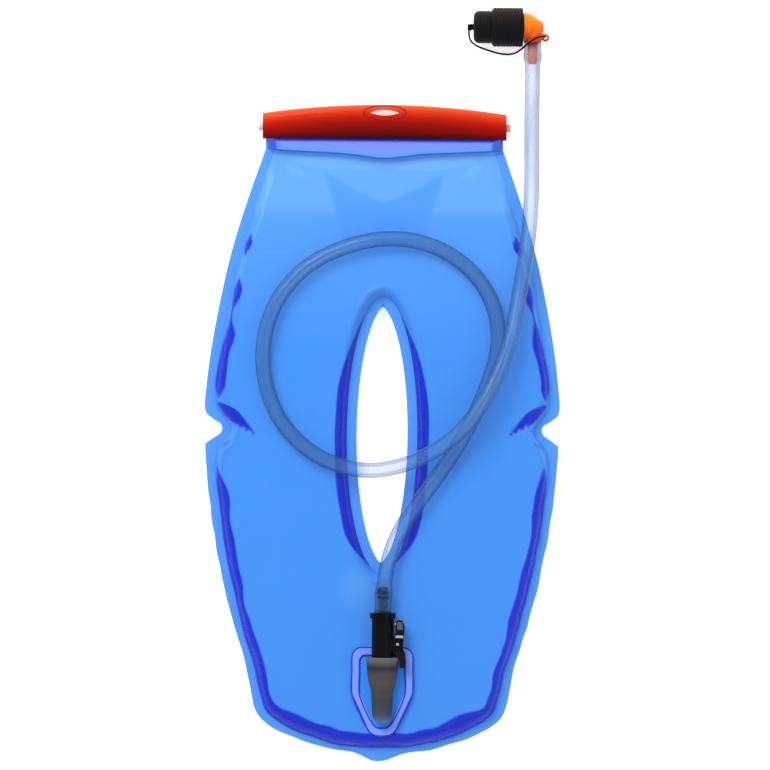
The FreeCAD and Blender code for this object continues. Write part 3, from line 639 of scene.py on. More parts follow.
def grain_group():
    """Fine grain for the normal, and broad patches for the roughness."""
    group = bpy.data.node_groups.new("fine_grain", "ShaderNodeTree")
    group.interface.new_socket("Vector", in_out="INPUT", socket_type="NodeSocketVector")
    for name, value in (("Scale", 900.0), ("Strength", 0.1), ("Roughness", 0.3), ("Variation", 0.08)):
        socket = group.interface.new_socket(name, in_out="INPUT", socket_type="NodeSocketFloat")
        socket.default_value = value
    group.interface.new_socket("Roughness", in_out="OUTPUT", socket_type="NodeSocketFloat")
    group.interface.new_socket("Normal", in_out="OUTPUT", socket_type="NodeSocketVector")
    given = add_node(group, "NodeGroupInput")
    made = add_node(group, "NodeGroupOutput")
    fine = add_node(group, "ShaderNodeTexNoise")
    fine.inputs["Detail"].default_value = 3.0
    broad = add_node(group, "ShaderNodeTexNoise")
    broad.inputs["Scale"].default_value = 55.0
    spread = add_node(group, "ShaderNodeMath", operation="MULTIPLY_ADD")
    centred = add_node(group, "ShaderNodeMath", operation="SUBTRACT")
    centred.inputs[1].default_value = 0.5
    bump = add_node(group, "ShaderNodeBump")
    bump.inputs["Distance"].default_value = 0.0002
    link = group.links.new
    link(given.outputs["Vector"], fine.inputs["Vector"])
    link(given.outputs["Vector"], broad.inputs["Vector"])
    link(given.outputs["Scale"], fine.inputs["Scale"])
    link(broad.outputs["Fac"], centred.inputs[0])
    link(centred.outputs[0], spread.inputs[0])
    link(given.outputs["Variation"], spread.inputs[1])
    link(given.outputs["Roughness"], spread.inputs[2])
    link(fine.outputs["Fac"], bump.inputs["Height"])
    link(given.outputs["Strength"], bump.inputs["Strength"])
    link(spread.outputs[0], made.inputs["Roughness"])
    link(bump.outputs["Normal"], made.inputs["Normal"])
    return group


FINE_GRAIN = grain_group()


def finish(name, colour, roughness, grain=900.0, strength=0.1, variation=0.08, alpha=1.0, **shader_values):
    """A material with one Principled shader, a plain colour and fine grain, and its tree and shader."""
    material = bpy.data.materials.new(name)
    material.use_nodes = True
    tree = material.node_tree
    shader = tree.nodes["Principled BSDF"]
    shader.inputs["Base Color"].default_value = (*colour, 1.0)
    shader.inputs["Alpha"].default_value = alpha
    for socket, value in shader_values.items():
        shader.inputs[socket.replace("_", " ")].default_value = value
    where = add_node(tree, "ShaderNodeTexCoord")
    texture = add_node(tree, "ShaderNodeGroup", node_tree=FINE_GRAIN)
    texture.inputs["Scale"].default_value = grain
    texture.inputs["Strength"].default_value = strength
    texture.inputs["Roughness"].default_value = roughness
    texture.inputs["Variation"].default_value = variation
    tree.links.new(where.outputs["Object"], texture.inputs["Vector"])
    tree.links.new(texture.outputs["Roughness"], shader.inputs["Roughness"])
    tree.links.new(texture.outputs["Normal"], shader.inputs["Normal"])
    return material, tree, shader


def mix_colours(tree, factor, first, second):
    """A Mix node between two colours or colour sockets, by a socket. Returns its result. Several of its
    sockets share a name, so the two colours and the result are found by their places."""
    mix = add_node(tree, "ShaderNodeMix", data_type="RGBA")
    tree.links.new(factor, mix.inputs["Factor"])
    for socket, value in ((mix.inputs[6], first), (mix.inputs[7], second)):
        if isinstance(value, tuple):
            socket.default_value = (*value, 1.0)
        else:
            tree.links.new(value, socket)
    return mix.outputs[2]


def plain(*values, **settings):
    """A finish with nothing else linked to it. Returns only the material."""
    return finish(*values, **settings)[0]


def paint(piece, material):
    """Gives a piece one material and no other."""
    piece.data.materials.clear()
    piece.data.materials.append(material)


# %% [markdown]
# The film is a clear azure plastic. Two sheets of it lie over each other, so each lets some light through.
# A glass shader would bend that light, which thin film hardly does, so the sheet is made part transparent
# instead. Its tones come from the mesh: painted shade as deep blue in the wall beside the weld and in the
# folds, paler on the flat weld, and paler by the neck, with painted highlights and a patch of painted shade.

# %% Film finish
FILM_BLUE = (0.062, 0.350, 1.0)
FILM_CLOUD = (0.070, 0.390, 1.0)
FILM_PALE = (0.210, 0.560, 1.0)
# The deep blue of painted shade, for the steep walls, the folds at the notches and the flap's painted shadow
FILM_SHADE_BLUE = (0.000, 0.022, 0.72)
WELD_BLUE = (0.090, 0.400, 1.0)
FLAP_VIOLET = (0.27, 0.38, 1.0)
CLOUD_SCALE, CLOUD_SHARE = 14.0, 0.35


def attribute_value(tree, name):
    """A tone that was written to the mesh, or 0 on a mesh without it."""
    node = add_node(tree, "ShaderNodeAttribute", attribute_name=name)
    return node.outputs["Fac"]


def film_material():
    """Clear blue film with its tones laid over each other: neck paleness with painted highlights and shade,
    clouds, weld, flap and the painted shade of the deep wall.
    """
    material, tree, shader = finish(
        "azure_film", FILM_BLUE, 0.2, grain=60.0, strength=0.05, variation=0.1, alpha=0.6,
        Specular_IOR_Level=0.16
    )
    clouds = add_node(tree, "ShaderNodeTexNoise")
    clouds.inputs["Scale"].default_value = CLOUD_SCALE
    where = add_node(tree, "ShaderNodeTexCoord")
    tree.links.new(where.outputs["Object"], clouds.inputs["Vector"])
    body = mix_colours(tree, attribute_value(tree, "pale_and_painted_light_tone"), FILM_BLUE, FILM_PALE)
    faint = add_node(tree, "ShaderNodeMath", operation="MULTIPLY")
    faint.inputs[1].default_value = CLOUD_SHARE
    tree.links.new(clouds.outputs["Fac"], faint.inputs[0])
    cloudy = mix_colours(tree, faint.outputs[0], body, FILM_CLOUD)
    welded = mix_colours(tree, attribute_value(tree, "weld_tone"), cloudy, WELD_BLUE)
    streaked = mix_colours(tree, attribute_value(tree, "violet_tone"), welded, FLAP_VIOLET)
    deep = mix_colours(tree, attribute_value(tree, "painted_shade_tone"), streaked, FILM_SHADE_BLUE)
    tree.links.new(deep, shader.inputs["Base Color"])
    return material


azure_film = film_material()
paint(front_film, azure_film)
paint(back_film, azure_film)

# %% [markdown]
# The hose is clear, and looks darker along its edges than down its middle, because more of its wall lies in
# the line of sight there. Layer Weight gives how far a surface is turned away, which drives the
# transparency.

# %% Clear hose finish
HOSE_OPEN, HOSE_EDGE = 0.14, 0.60
BORE_OPEN, BORE_EDGE = 0.13, 0.26
EDGE_STARTS = 0.7


def clear_material(name, colour, open_alpha, edge_alpha):
    """Clear soft plastic: more of it lies in the line of sight at its edges, so it hides more there."""
    material, tree, shader = finish(name, colour, 0.14, grain=300.0, strength=0.03, variation=0.04)
    facing = add_node(tree, "ShaderNodeLayerWeight")
    facing.inputs["Blend"].default_value = 0.5
    span = add_node(tree, "ShaderNodeMapRange")
    span.inputs["From Max"].default_value = EDGE_STARTS
    span.inputs["To Min"].default_value = open_alpha
    span.inputs["To Max"].default_value = edge_alpha
    tree.links.new(facing.outputs["Facing"], span.inputs["Value"])
    tree.links.new(span.outputs["Result"], shader.inputs["Alpha"])
    return material


# Both colours are painted light: their blue stands for the film's light seen through the hose and makes up
# for the shadow the hose casts on the film
clear_wall = clear_material("clear_hose_wall", (0.04, 0.12, 0.28), HOSE_OPEN, HOSE_EDGE)
clear_bore = clear_material("clear_hose_bore", (0.14, 0.45, 1.0), BORE_OPEN, BORE_EDGE)

# %% [markdown]
# The hard pieces are plain mouldings in one colour. The black ones get a low specular level, because real
# matt black plastic reflects little of a bright studio, and would turn grey here otherwise.

# %% Plain finishes
DULL = {"Specular_IOR_Level": 0.08}
milky_rod = plain("milky_rod", (0.85, 0.68, 0.62), 0.35, alpha=0.9)
plain_white = plain("poppet_white", (0.80, 0.80, 0.78), 0.4)
steel = plain("spring_steel", (0.62, 0.62, 0.62), 0.28, strength=0.05, Metallic=1.0)
silicone = plain("silicone", (0.50, 0.60, 0.72), 0.5, alpha=0.9)
seal_black = plain("seal_rubber", (0.008, 0.008, 0.009), 0.6, grain=1600.0, strength=0.3, **DULL)
coupler_black = plain("coupler_black", (0.003, 0.003, 0.005), 0.3, grain=1500.0, strength=0.1, **DULL)
latch_black = plain("latch_black", (0.006, 0.007, 0.010), 0.45, grain=1800.0, strength=0.25, **DULL)
latch_grey = plain("latch_grey", (0.10, 0.10, 0.09), 0.45, grain=1800.0, strength=0.3, **DULL)
valve_black = plain("valve_black", (0.01, 0.01, 0.01), 0.4, **DULL)
tether_black = plain("tether_cord", (0.008, 0.007, 0.007), 0.6, grain=2500.0, strength=0.5, **DULL)
weld_line = plain("weld_line", (0.010, 0.060, 0.70), 0.3, **DULL)
# The lip is darker than the slider's top: painted shade round the raised lip
shaded_slider_lip = plain(
    "shaded_slider_lip", (0.42, 0.014, 0.003), 0.3, grain=1500.0, strength=0.05, Specular_IOR_Level=0.1
)
print(len(bpy.data.materials), "materials so far")

# %% [markdown]
# Some finishes change colour across the piece: the glossy slider and the elbow, each with painted shade on
# its lower side and painted light on top, the cap, lighter on its upper side, and the port, whose flange is
# welded film and whose socket is a frosted moulding with a painted reflection of the blue film at its foot.
# Paint by vertex would need a fine mesh. A colour ramp along one of the piece's own axes works on any mesh,
# so that is the way here.


# %% Finishes with a colour ramp
def colour_ramp(tree, value, stops):
    """A Color Ramp node fed by a socket, with (place, colour) stops. Returns its colour."""
    ramp = add_node(tree, "ShaderNodeValToRGB")
    points = ramp.color_ramp.elements
    while len(points) < len(stops):
        points.new(0.5)
    for point, (place, colour) in zip(points, stops):
        point.position = place
        point.color = (*colour, 1.0)
    tree.links.new(value, ramp.inputs["Fac"])
    return ramp.outputs["Color"]


def span_of(tree, value, low, high):
    """0 to 1 as a socket's value goes from low to high."""
    span = add_node(tree, "ShaderNodeMapRange")
    span.inputs["From Min"].default_value = low
    span.inputs["From Max"].default_value = high
    tree.links.new(value, span.inputs["Value"])
    return span.outputs["Result"]


def object_axes(tree):
    """The object coordinates, split."""
    where = add_node(tree, "ShaderNodeTexCoord")
    split = add_node(tree, "ShaderNodeSeparateXYZ")
    tree.links.new(where.outputs["Object"], split.inputs[0])
    return split


SLIDER_LOW, SLIDER_CROWN = 0.182, 0.2035
CROWN_CURVE = 1.0
# Painted shade from the slider's lower edge up to a painted highlight along its crown
SLIDER_SHADE_STOPS = [
    (0.0, (0.055, 0.0008, 0.0004)), (0.22, (0.13, 0.001, 0.0005)), (0.45, (0.28, 0.002, 0.0005)),
    (0.65, (0.48, 0.009, 0.001)), (0.85, (0.72, 0.045, 0.010)), (1.0, (0.86, 0.12, 0.04)),
]


def slider_material():
    """Red in bands that follow the slider's crowned upper edge: painted shade, dark low down, rising to a
    painted highlight at the crown.
    """
    material, tree, shader = finish(
        "slider_red", (0.5, 0.02, 0.01), 0.3, grain=1500.0, strength=0.05, Specular_IOR_Level=0.08
    )
    axes = object_axes(tree)
    squared = add_node(tree, "ShaderNodeMath", operation="MULTIPLY")
    crowned = add_node(tree, "ShaderNodeMath", operation="MULTIPLY_ADD")
    crowned.inputs[1].default_value = CROWN_CURVE
    tree.links.new(axes.outputs["X"], squared.inputs[0])
    tree.links.new(axes.outputs["X"], squared.inputs[1])
    tree.links.new(squared.outputs[0], crowned.inputs[0])
    tree.links.new(axes.outputs["Y"], crowned.inputs[2])
    height = span_of(tree, crowned.outputs[0], SLIDER_LOW, SLIDER_CROWN)
    tree.links.new(colour_ramp(tree, height, SLIDER_SHADE_STOPS), shader.inputs["Base Color"])
    return material


ELBOW_LOW, ELBOW_HIGH = 0.2385, 0.2605
# Painted shade low on the elbow and painted light at its top
ORANGE_SHADE_STOPS = [(0.0, (0.95, 0.26, 0.060)), (0.12, (0.42, 0.022, 0.002)), (0.35, (0.80, 0.10, 0.004)),
                (1.0, (1.0, 0.32, 0.010))]


def orange_material():
    """Orange, pale at the very foot, with painted shade above it and painted light at the top."""
    material, tree, shader = finish(
        "elbow_orange", (0.9, 0.2, 0.01), 0.25, strength=0.04, Specular_IOR_Level=0.2
    )
    height = span_of(tree, object_axes(tree).outputs["Y"], ELBOW_LOW, ELBOW_HIGH)
    tree.links.new(colour_ramp(tree, height, ORANGE_SHADE_STOPS), shader.inputs["Base Color"])
    return material


FLANGE_SPAN, SOCKET_SPAN, RAISED_SPAN = (0.0200, 0.0223), (-0.1785, -0.1385), (0.0224, 0.0262)
FLANGE_STOPS = [(0.0, (0.045, 0.30, 0.95)), (0.66, (0.045, 0.30, 0.95)), (0.70, (0.22, 0.33, 0.98)),
                (1.0, (0.22, 0.33, 0.98))]
# The socket's first, bluish stop is a painted reflection of the blue film at the socket's foot
SOCKET_STOPS = [
    (0.0, (0.10, 0.18, 0.34)), (0.12, (0.055, 0.065, 0.090)), (0.34, (0.048, 0.053, 0.064)),
    (0.62, (0.080, 0.074, 0.074)), (0.76, (0.066, 0.064, 0.070)), (0.84, (0.026, 0.026, 0.034)),
    (0.93, (0.110, 0.102, 0.108)), (1.0, (0.150, 0.142, 0.152)),
]


def port_material():
    """Film blue and violet on the flange, by height, and frosted greys along the socket on it, with a painted
    reflection of the blue film low on the socket.
    """
    material, tree, shader = finish(
        "frosted_moulding", (0.1, 0.1, 0.1), 0.5, grain=1300.0, strength=0.2, **DULL
    )
    axes = object_axes(tree)
    flange = colour_ramp(tree, span_of(tree, axes.outputs["Z"], *FLANGE_SPAN), FLANGE_STOPS)
    socket = colour_ramp(tree, span_of(tree, axes.outputs["Y"], *SOCKET_SPAN), SOCKET_STOPS)
    # The flange's blue fades up the socket's lower wall as a painted reflection of the film
    raised = span_of(tree, axes.outputs["Z"], *RAISED_SPAN)
    tree.links.new(mix_colours(tree, raised, flange, socket), shader.inputs["Base Color"])
    return material


UPPER_SPAN = (0.2545, 0.2640)
CAP_BLACK, CAP_UPPER = (0.005, 0.005, 0.006), (0.030, 0.022, 0.020)


def cap_material():
    """Black rubber, matt, lighter towards its upper side."""
    material, tree, shader = finish(
        "cover_rubber", (0.006, 0.005, 0.005), 0.6, grain=1000.0, strength=0.5, **DULL
    )
    toward_top = span_of(tree, object_axes(tree).outputs["Y"], *UPPER_SPAN)
    cap_tone = mix_colours(tree, toward_top, CAP_BLACK, CAP_UPPER)
    tree.links.new(cap_tone, shader.inputs["Base Color"])
    return material


slider_red = slider_material()
elbow_orange = orange_material()
frosted = port_material()
cover_rubber = cap_material()
print(len(bpy.data.materials), "materials")

# %% [markdown]
# ## Small pieces
# The flap is the top of the back sheet, folded forward over the rod. A plane could be folded in edit mode,
# but its wavy lower edge and the streaks near it, of painted highlight and painted shade with a painted
# shadow under the slider, are easier to give by formula. So it's a grid whose columns go from that edge up
# to the rod and round it, and it still wraps the rod when the slider is pulled off.

# %% Folded flap
FLAP_HALF, FLAP_LOW = 72.0, 173.6
FLAP_Z, ROD_Y, ROD_Z, ROD_WRAP = 14.3, 189.5, 11.3, 3.0
FLAP_COLUMNS, FLAP_ROWS, WRAP_ROWS = 180, 34, 12
FLAP_THICK = 0.8
# Where the painted shadow under the slider lies, and how strong the painted shade is along the edge and at
# the corner; the wrap round the rod gets painted shade too
UNDER_SLIDER, FLAP_CORNER = (179.6, 181.4), (70.0, 176.5)
EDGE_DEEP, CORNER_DEEP = 0.8, 0.7
WRAP_TONES = (0.6, 0.3, 0.3)


def flap_edge(x):
    """The height of the flap's lower edge: level near the ends, with a dip in the middle."""
    dip = 4.6 * math.exp(-(x / 20.0) ** 2)
    return FLAP_LOW - dip + 0.6 * math.cos(x / 11.0) + 0.9 * smoothstep(62, 72, abs(x))


def flap_tone(x, y, low):
    """The painted shade, violet and pale tones at a place on the flap, whose lower edge is at low: a painted
    shadow under the slider, painted shade along the lower edge and at each corner, and pale streaks of
    painted highlight.
    """
    streak = 0.5 + 0.9 * noise.noise(Vector((x / 30.0, y / 1.1, 3.1)))
    edge = smoothstep(1.5, 0.7, y - low) * smoothstep(0.1, 0.5, y - low + 0.3)
    under = smoothstep(*UNDER_SLIDER, y) * smoothstep(76, 66, abs(x))
    from_corner = math.hypot(abs(x) - FLAP_CORNER[0], (y - FLAP_CORNER[1]) * 0.55)
    deep = max(edge * EDGE_DEEP, under, smoothstep(5.0, 2.0, from_corner) * CORNER_DEEP)
    violet = smoothstep(2.2, 3.6, y - low) * (0.75 + 0.25 * streak)
    return deep, violet, 0.35 + 0.3 * streak


flap_points, flap_tones = [], []
for c in range(FLAP_COLUMNS + 1):
    x = -FLAP_HALF + 2 * FLAP_HALF * c / FLAP_COLUMNS
    low = flap_edge(x)
    for r in range(FLAP_ROWS):
        y = low + (ROD_Y - low) * (r / FLAP_ROWS) ** 1.3
        wave = 0.35 * noise.noise(Vector((x / 22.0, y / 4.0, 7.7))) * smoothstep(ROD_Y - 6, ROD_Y - 12, y)
        flap_points.append((x * MM, y * MM, (FLAP_Z + wave) * MM))
        flap_tones.append(flap_tone(x, y, low))
    for r in range(WRAP_ROWS + 1):
        turn = math.radians(90 - 180 * r / WRAP_ROWS)
        y, z = ROD_Y + ROD_WRAP * math.cos(turn), ROD_Z + ROD_WRAP * math.sin(turn)
        flap_points.append((x * MM, y * MM, z * MM))
        flap_tones.append(WRAP_TONES)
per_column = FLAP_ROWS + WRAP_ROWS + 1
flap_faces = []
for c in range(FLAP_COLUMNS):
    for r in range(per_column - 1):
        a = c * per_column + r
        flap_faces.append((a, a + per_column, a + per_column + 1, a + 1))
flap = mesh_piece("folded_flap", flap_points, flap_faces)
set_tones(flap, flap_tones, ("painted_shade_tone", "violet_tone", "pale_and_painted_light_tone"))
thicken(flap, FLAP_THICK * MM, 0.0)
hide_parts("mouth_flap")
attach(flap, "reservoir")
print("flap", len(flap.data.polygons), "faces")

# %% [markdown]
# The slider has a hanging hole with a raised oval lip round it. The lip could be raised out of the slider's
# own mesh, but a CAD node's mesh is left alone. So a torus is squeezed to an oval, and its points are
# lowered where the slider's upper edge is rounded, so that the lip hugs the surface.

# %% Lip round the hanging hole
EYE_Y = 198.6
LIP_HALF_LONG, LIP_HALF_WIDE, LIP_RADIUS, LIP_HEIGHT = 13.0, 4.3, 0.55, 0.9
SLIDER_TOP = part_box("closure_slider")[1][2] / MM
EDGE_ROUND, CROWN_Y, CROWN_FALL = 4.0, 203.5, 5.7 / 75.5 ** 2


def slider_surface(x, y):
    """The height of the slider's upper side, which rounds off along its crowned edge."""
    into_round = max(0.0, y - (CROWN_Y - CROWN_FALL * x * x - EDGE_ROUND))
    return SLIDER_TOP - EDGE_ROUND + math.sqrt(max(0.05, EDGE_ROUND ** 2 - into_round ** 2))


bpy.ops.object.select_all(action="DESELECT")
bpy.ops.mesh.primitive_torus_add(
    major_radius=LIP_HALF_LONG * MM, minor_radius=LIP_RADIUS * MM, major_segments=96, minor_segments=12
)
lip = bpy.context.object
lip.name = "eye_lip"
for vertex in lip.data.vertices:
    x, y, z = vertex.co / MM
    reach = math.hypot(x, y)
    squeeze = (LIP_HALF_WIDE + (reach - LIP_HALF_LONG)) / reach
    y = y * squeeze + EYE_Y
    vertex.co = (x * MM, y * MM, (slider_surface(x, y) + z * LIP_HEIGHT) * MM)
bpy.ops.object.shade_smooth()
paint(lip, shaded_slider_lip)
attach(lip, "slider")
print("lip", len(lip.data.polygons), "faces")

# %% [markdown]
# The port's flange is welded to the film, and the weld leaves a dark line along the flange's outer edge and
# another along its raised rim's inner edge. The line could be part of a finish, but its outline is no
# simple formula in space. Each line is a fine bead instead, which follows a closed outline.


# %% Weld lines round the port
def closed_bead(name, outline, z, radius, sides=8):
    """A closed bead along a smooth loop through points, at one height."""
    loop = evenly(through(outline + outline[:1], 10)[:-1], 160)
    points, faces = [], []
    count = len(loop)
    out = inward(loop)
    for (x, y), (nx, ny) in zip(loop, out):
        for k in range(sides):
            turn = 2 * math.pi * k / sides
            reach = radius * math.cos(turn)
            rise = radius * math.sin(turn)
            points.append(((x + nx * reach) * MM, (y + ny * reach) * MM, (z + rise) * MM))
    for i in range(count):
        for k in range(sides):
            a, b = i * sides + k, i * sides + (k + 1) % sides
            c, d = ((i + 1) % count) * sides + (k + 1) % sides, ((i + 1) % count) * sides + k
            faces.append((a, b, c, d))
    bead = mesh_piece(name, points, faces)
    only(bead)
    bpy.ops.object.mode_set(mode="EDIT")
    bpy.ops.mesh.select_all(action="SELECT")
    bpy.ops.mesh.normals_make_consistent(inside=False)
    bpy.ops.object.mode_set(mode="OBJECT")
    bpy.ops.object.shade_smooth()
    paint(bead, weld_line)
    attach(bead, "reservoir")
    print(name, count, "points round")


def shield_outline(half, top, straight_end, bottom, bottom_half, corner):
    """Points round a shield: square shoulders, straight sides and a narrow rounded foot."""
    right = [
        (0.0, top), (half - corner, top), (half - corner * 0.3, top - corner * 0.3), (half, top - corner),
        (half, (top + straight_end) / 2), (half, straight_end), (half * 0.72, (straight_end + bottom) * 0.5),
        (bottom_half, bottom + 3.2), (bottom_half * 0.55, bottom + 0.6),
    ]
    return [(PORT_X + x, y) for x, y in right + [(0.0, bottom)] + [(-x, y) for x, y in right[:0:-1]]]


FLANGE_TOP = 22.3
OUTER_SHIELD = shield_outline(18.6, -132.9, -161.0, -187.1, 8.0, 5.5)
INNER_SHIELD = shield_outline(14.2, -137.3, -161.0, -182.7, 6.0, 3.6)
closed_bead("weld_line_outer", OUTER_SHIELD, FLANGE_TOP - 0.5, 0.6)
closed_bead("weld_line_inner", INNER_SHIELD, FLANGE_TOP - 0.2, 0.5)

# %% [markdown]
# The cap over the bite valve is a ribbed rubber cup. It could be spun from a profile, but pulling it out is
# just as short: it starts as a circle at the cup's open end and is extruded along its axis, ring by ring,
# with its size set at each ring. Solidify then gives the cup its wall.


# %% Ribbed cap
CAP_SIDES, CAP_WALL = 72, 1.1
CAP_SKIRT, CAP_BARREL, CAP_TIP = 12.3, 10.3, 3.4
CAP_RIB, CAP_PITCH = 0.22, 1.9
STEP_START, STEP_END = 12.6, 11.0
cap_low, cap_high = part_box("valve_cover")


def pulled_cup(name, y, z, rings):
    """A cup along -X: a circle that is extruded to each (place, radius) in turn, in millimetres."""
    bpy.ops.object.select_all(action="DESELECT")
    first_x, first_radius = rings[0]
    bpy.ops.mesh.primitive_circle_add(
        vertices=CAP_SIDES, radius=first_radius * MM, location=(first_x * MM, y * MM, z * MM),
        rotation=(0, math.pi / 2, 0),
    )
    cup = settle(bpy.context.object)
    cup.name = name
    bpy.ops.object.mode_set(mode="EDIT")
    bpy.ops.mesh.select_all(action="SELECT")
    for (x0, r0), (x1, r1) in zip(rings, rings[1:]):
        bpy.ops.mesh.extrude_region_move(TRANSFORM_OT_translate={"value": ((x1 - x0) * MM, 0, 0)})
        bpy.ops.transform.resize(value=(1, r1 / r0, r1 / r0), center_override=(x1 * MM, y * MM, z * MM))
    bpy.ops.mesh.merge(type="CENTER")
    bpy.ops.mesh.select_all(action="SELECT")
    bpy.ops.mesh.normals_make_consistent(inside=False)
    bpy.ops.object.mode_set(mode="OBJECT")
    return cup


def cap_rings():
    """The cap's outline: a wide ribbed skirt, a step, a narrower barrel and a rounded tip."""
    low, high = cap_low[0] / MM + 0.3, cap_high[0] / MM
    length = high - low
    rings, along = [(high, CAP_SKIRT - 0.8), (high - 0.4, CAP_SKIRT - 0.1)], 0.8
    while along < length - CAP_TIP:
        barrel = smoothstep(length - STEP_START, length - STEP_END, along)
        rib = CAP_RIB * math.cos(2 * math.pi * along / CAP_PITCH)
        rings.append((high - along, CAP_SKIRT - 0.25 + rib - (CAP_SKIRT - CAP_BARREL) * barrel))
        along += CAP_PITCH / 5
    for angle in range(8, 86, 13):
        turn = math.radians(angle)
        x = low + CAP_TIP - CAP_TIP * math.sin(turn)
        rings.append((x, CAP_BARREL - 0.3 - 3.6 * (1 - math.cos(turn))))
    nub = [(low - 0.05, 2.2), (low - 0.5, 1.8), (low - 1.2, 1.7), (low - 1.5, 1.2)]
    return rings + [(low, CAP_BARREL - 5.2)] + nub


cap = pulled_cup("ribbed_cap", VALVE_Y, VALVE_Z, cap_rings())
thicken(cap, CAP_WALL * MM, -1.0)
paint(cap, cover_rubber)
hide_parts("valve_cover")
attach(cap, "cover")
print("cap", len(cap.data.polygons), "faces")

# %% [markdown]
# The tether's knot is an overhand knot, which is a trefoil with its ends left out. A simulated knot would
# be slow and never quite the same. The trefoil's line has a short formula and crosses over itself three
# times, so a tube along it reads as a pulled-tight knot.

# %% Knot
KNOT_POINTS, KNOT_SIZE, KNOT_RADIUS = 72, 0.62, 0.62
knot_low, knot_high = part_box("tether_knot")
knot_centre = (Vector(knot_low) + Vector(knot_high)) / 2
knot_line = []
for k in range(KNOT_POINTS):
    turn = 2 * math.pi * k / KNOT_POINTS
    y, z = math.cos(turn) - 2 * math.cos(2 * turn), math.sin(turn) + 2 * math.sin(2 * turn)
    knot_line.append(knot_centre + Vector((-1.5 * math.sin(3 * turn), y, z)) * KNOT_SIZE * MM)
knot = tube_mesh("cord_knot", knot_line, lambda distance: KNOT_RADIUS * MM, 12)
paint(knot, tether_black)
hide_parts("tether_knot")
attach(knot, "cover")
print("knot", len(knot.data.polygons), "faces")

# %% [markdown]
# The latch is pushed back by a small coil spring, which the lever shortens when it's pressed.

# %% Thumb spring
SPRING_START, SPRING_LENGTH = 8.4, 1.5
SPRING_RADIUS, SPRING_WIRE, SPRING_TURNS, SPRING_POINTS = 1.3, 0.2, 2.5, 64
SPRING_Y = -118.0
spring_line = []
for k in range(SPRING_POINTS + 1):
    turn = 2 * math.pi * SPRING_TURNS * k / SPRING_POINTS
    x = SPRING_START + SPRING_WIRE + (SPRING_LENGTH - 2 * SPRING_WIRE) * k / SPRING_POINTS
    y, z = SPRING_Y + SPRING_RADIUS * math.cos(turn), PORT_Z + SPRING_RADIUS * math.sin(turn)
    spring_line.append(Vector((x, y, z)) * MM)
spring = tube_mesh("thumb_spring", spring_line, lambda distance: SPRING_WIRE * MM, 8)
paint(spring, steel)
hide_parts("latch_spring")
print("spring", len(spring.data.polygons), "faces")

# %% [markdown]
# The latch's thumb pad has five small grip ribs, and a steel bar crosses the lever. One rib is modelled, as
# a cube that is sized and bevelled, and the others are copies of it, each with its own mesh.

# %% Latch details
LATCH_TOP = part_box("latch_lever")[1][2] / MM
RIB_COUNT, RIB_PITCH, RIB_Y = 5, 1.35, -138.4
RIB_LOW = (12.3, RIB_Y - 0.4, LATCH_TOP - 0.2)
RIB_HIGH = (15.5, RIB_Y + 0.4, LATCH_TOP + 0.5)
BAR_LOW, BAR_HIGH = (9.4, -126.4, LATCH_TOP - 0.2), (14.2, -124.8, LATCH_TOP + 0.35)


def small_block(name, low, high, rounding):
    """A little block between two corners in millimetres, with its edges rounded."""
    bpy.ops.object.select_all(action="DESELECT")
    centre = [(a + b) / 2 * MM for a, b in zip(low, high)]
    bpy.ops.mesh.primitive_cube_add(size=1.0, location=centre)
    block = bpy.context.object
    block.name = name
    block.scale = [(b - a) * MM for a, b in zip(low, high)]
    settle(block)
    bpy.ops.object.mode_set(mode="EDIT")
    bpy.ops.mesh.select_all(action="SELECT")
    bpy.ops.mesh.bevel(offset=rounding * MM, segments=2)
    bpy.ops.object.mode_set(mode="OBJECT")
    return block


ribs = [small_block("latch_rib_1", RIB_LOW, RIB_HIGH, 0.15)]
for k in range(1, RIB_COUNT):
    rib = ribs[0].copy()
    rib.data = ribs[0].data.copy()
    rib.name = f"latch_rib_{k + 1}"
    rib.data.transform(Matrix.Translation((0, -RIB_PITCH * k * MM, 0)))
    bpy.context.scene.collection.objects.link(rib)
    ribs.append(rib)
bar = small_block("latch_bar", BAR_LOW, BAR_HIGH, 0.2)
paint(bar, steel)
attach(bar, "latch")
for rib in ribs:
    paint(rib, latch_black)
    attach(rib, "latch")
print("latch", len(ribs), "ribs and a bar")

# %% [markdown]
# Every CAD node that stays visible gets its finish by name. The new pieces that had to wait for their
# finish get theirs here too.

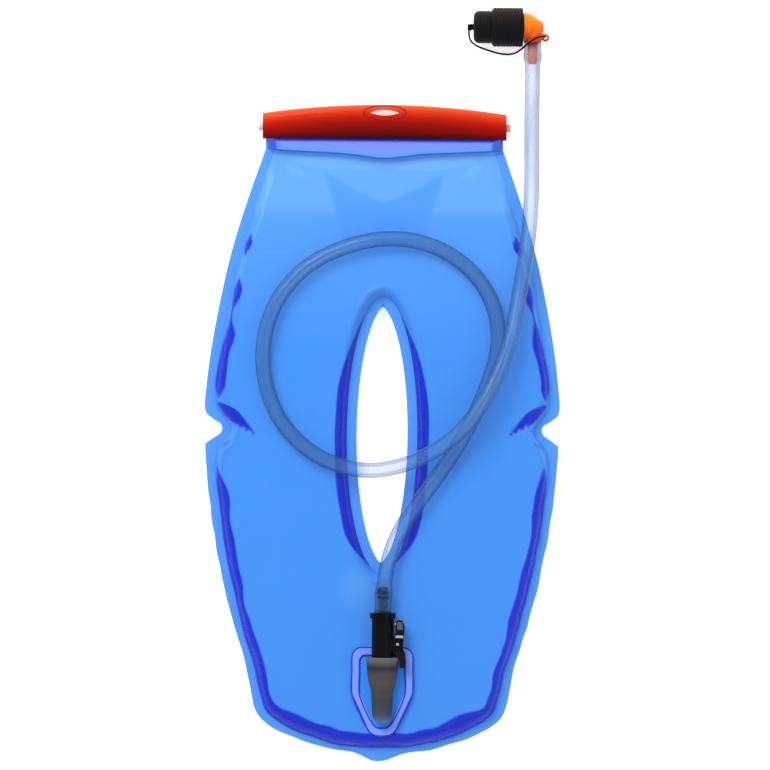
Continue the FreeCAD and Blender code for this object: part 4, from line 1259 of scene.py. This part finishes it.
# %% Paint the rest
paint(hose, clear_wall)
paint(hose_bore, clear_bore)
paint(tether, tether_black)
paint(flap, azure_film)
NODE_FINISHES = (
    ("closure_slider", slider_red), ("mouth_rail", milky_rod), ("outlet_port", frosted),
    ("poppet", plain_white), ("poppet_seal", seal_black), ("poppet_spring", steel),
    ("coupler_body", coupler_black), ("coupler_oring", seal_black), ("latch_lever", latch_black),
    ("latch_pad", latch_grey), ("latch_pin", steel), ("valve_elbow", elbow_orange),
    ("valve_oring", seal_black), ("valve_body", valve_black), ("mouthpiece", silicone),
)
for node, material in NODE_FINISHES:
    paint(nodes[node], material)
print(len(NODE_FINISHES), "CAD nodes painted")

# %% [markdown]
# ## Floor and light
# A pale floor and two large soft lamps overhead, with a bright even sky to fill, as in a product studio.
# The floor also glows a little, like a light table, so that it stays white under the bag.

# %% Floor, lamps and sky
FLOOR_SIZE, FLOOR_Z, FLOOR_GLOW = 6.0, -0.0002, 0.6
SKY_STRENGTH = 0.55
bpy.ops.object.select_all(action="DESELECT")
bpy.ops.mesh.primitive_plane_add(size=FLOOR_SIZE, location=(0, 0, FLOOR_Z))
floor = bpy.context.object
floor.name = "floor"
floor_white = plain(
    "floor_white", (0.9, 0.9, 0.9), 0.8, strength=0.0, Emission_Strength=FLOOR_GLOW,
    Emission_Color=(1.0, 1.0, 1.0, 1.0),
)
paint(floor, floor_white)


def area_lamp(name, location, size, power):
    """A round soft lamp that points at the bag's middle."""
    data = bpy.data.lights.new(name, "AREA")
    data.shape = "DISK"
    data.size = size
    data.energy = power
    lamp = bpy.data.objects.new(name, data)
    bpy.context.scene.collection.objects.link(lamp)
    lamp.location = location
    lamp.rotation_euler = (-Vector(location)).to_track_quat("-Z", "Y").to_euler()


area_lamp("key", location=(-0.7, 1.1, 1.6), size=1.1, power=28.0)
area_lamp("fill", location=(1.1, -0.7, 1.5), size=1.6, power=6.0)
world = bpy.data.worlds.new("studio")
world.use_nodes = True
sky = world.node_tree.nodes["Background"]
sky.inputs["Color"].default_value = (1.0, 1.0, 1.0, 1.0)
sky.inputs["Strength"].default_value = SKY_STRENGTH
bpy.context.scene.world = world
bpy.context.scene.view_settings.view_transform = "Standard"
bpy.context.scene.cycles.transparent_max_bounces = 32  # film, hose and bore lie many sheets deep
print(len(bpy.data.lights), "lamps")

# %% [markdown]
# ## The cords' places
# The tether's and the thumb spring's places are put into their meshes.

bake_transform(tether)
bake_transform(spring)
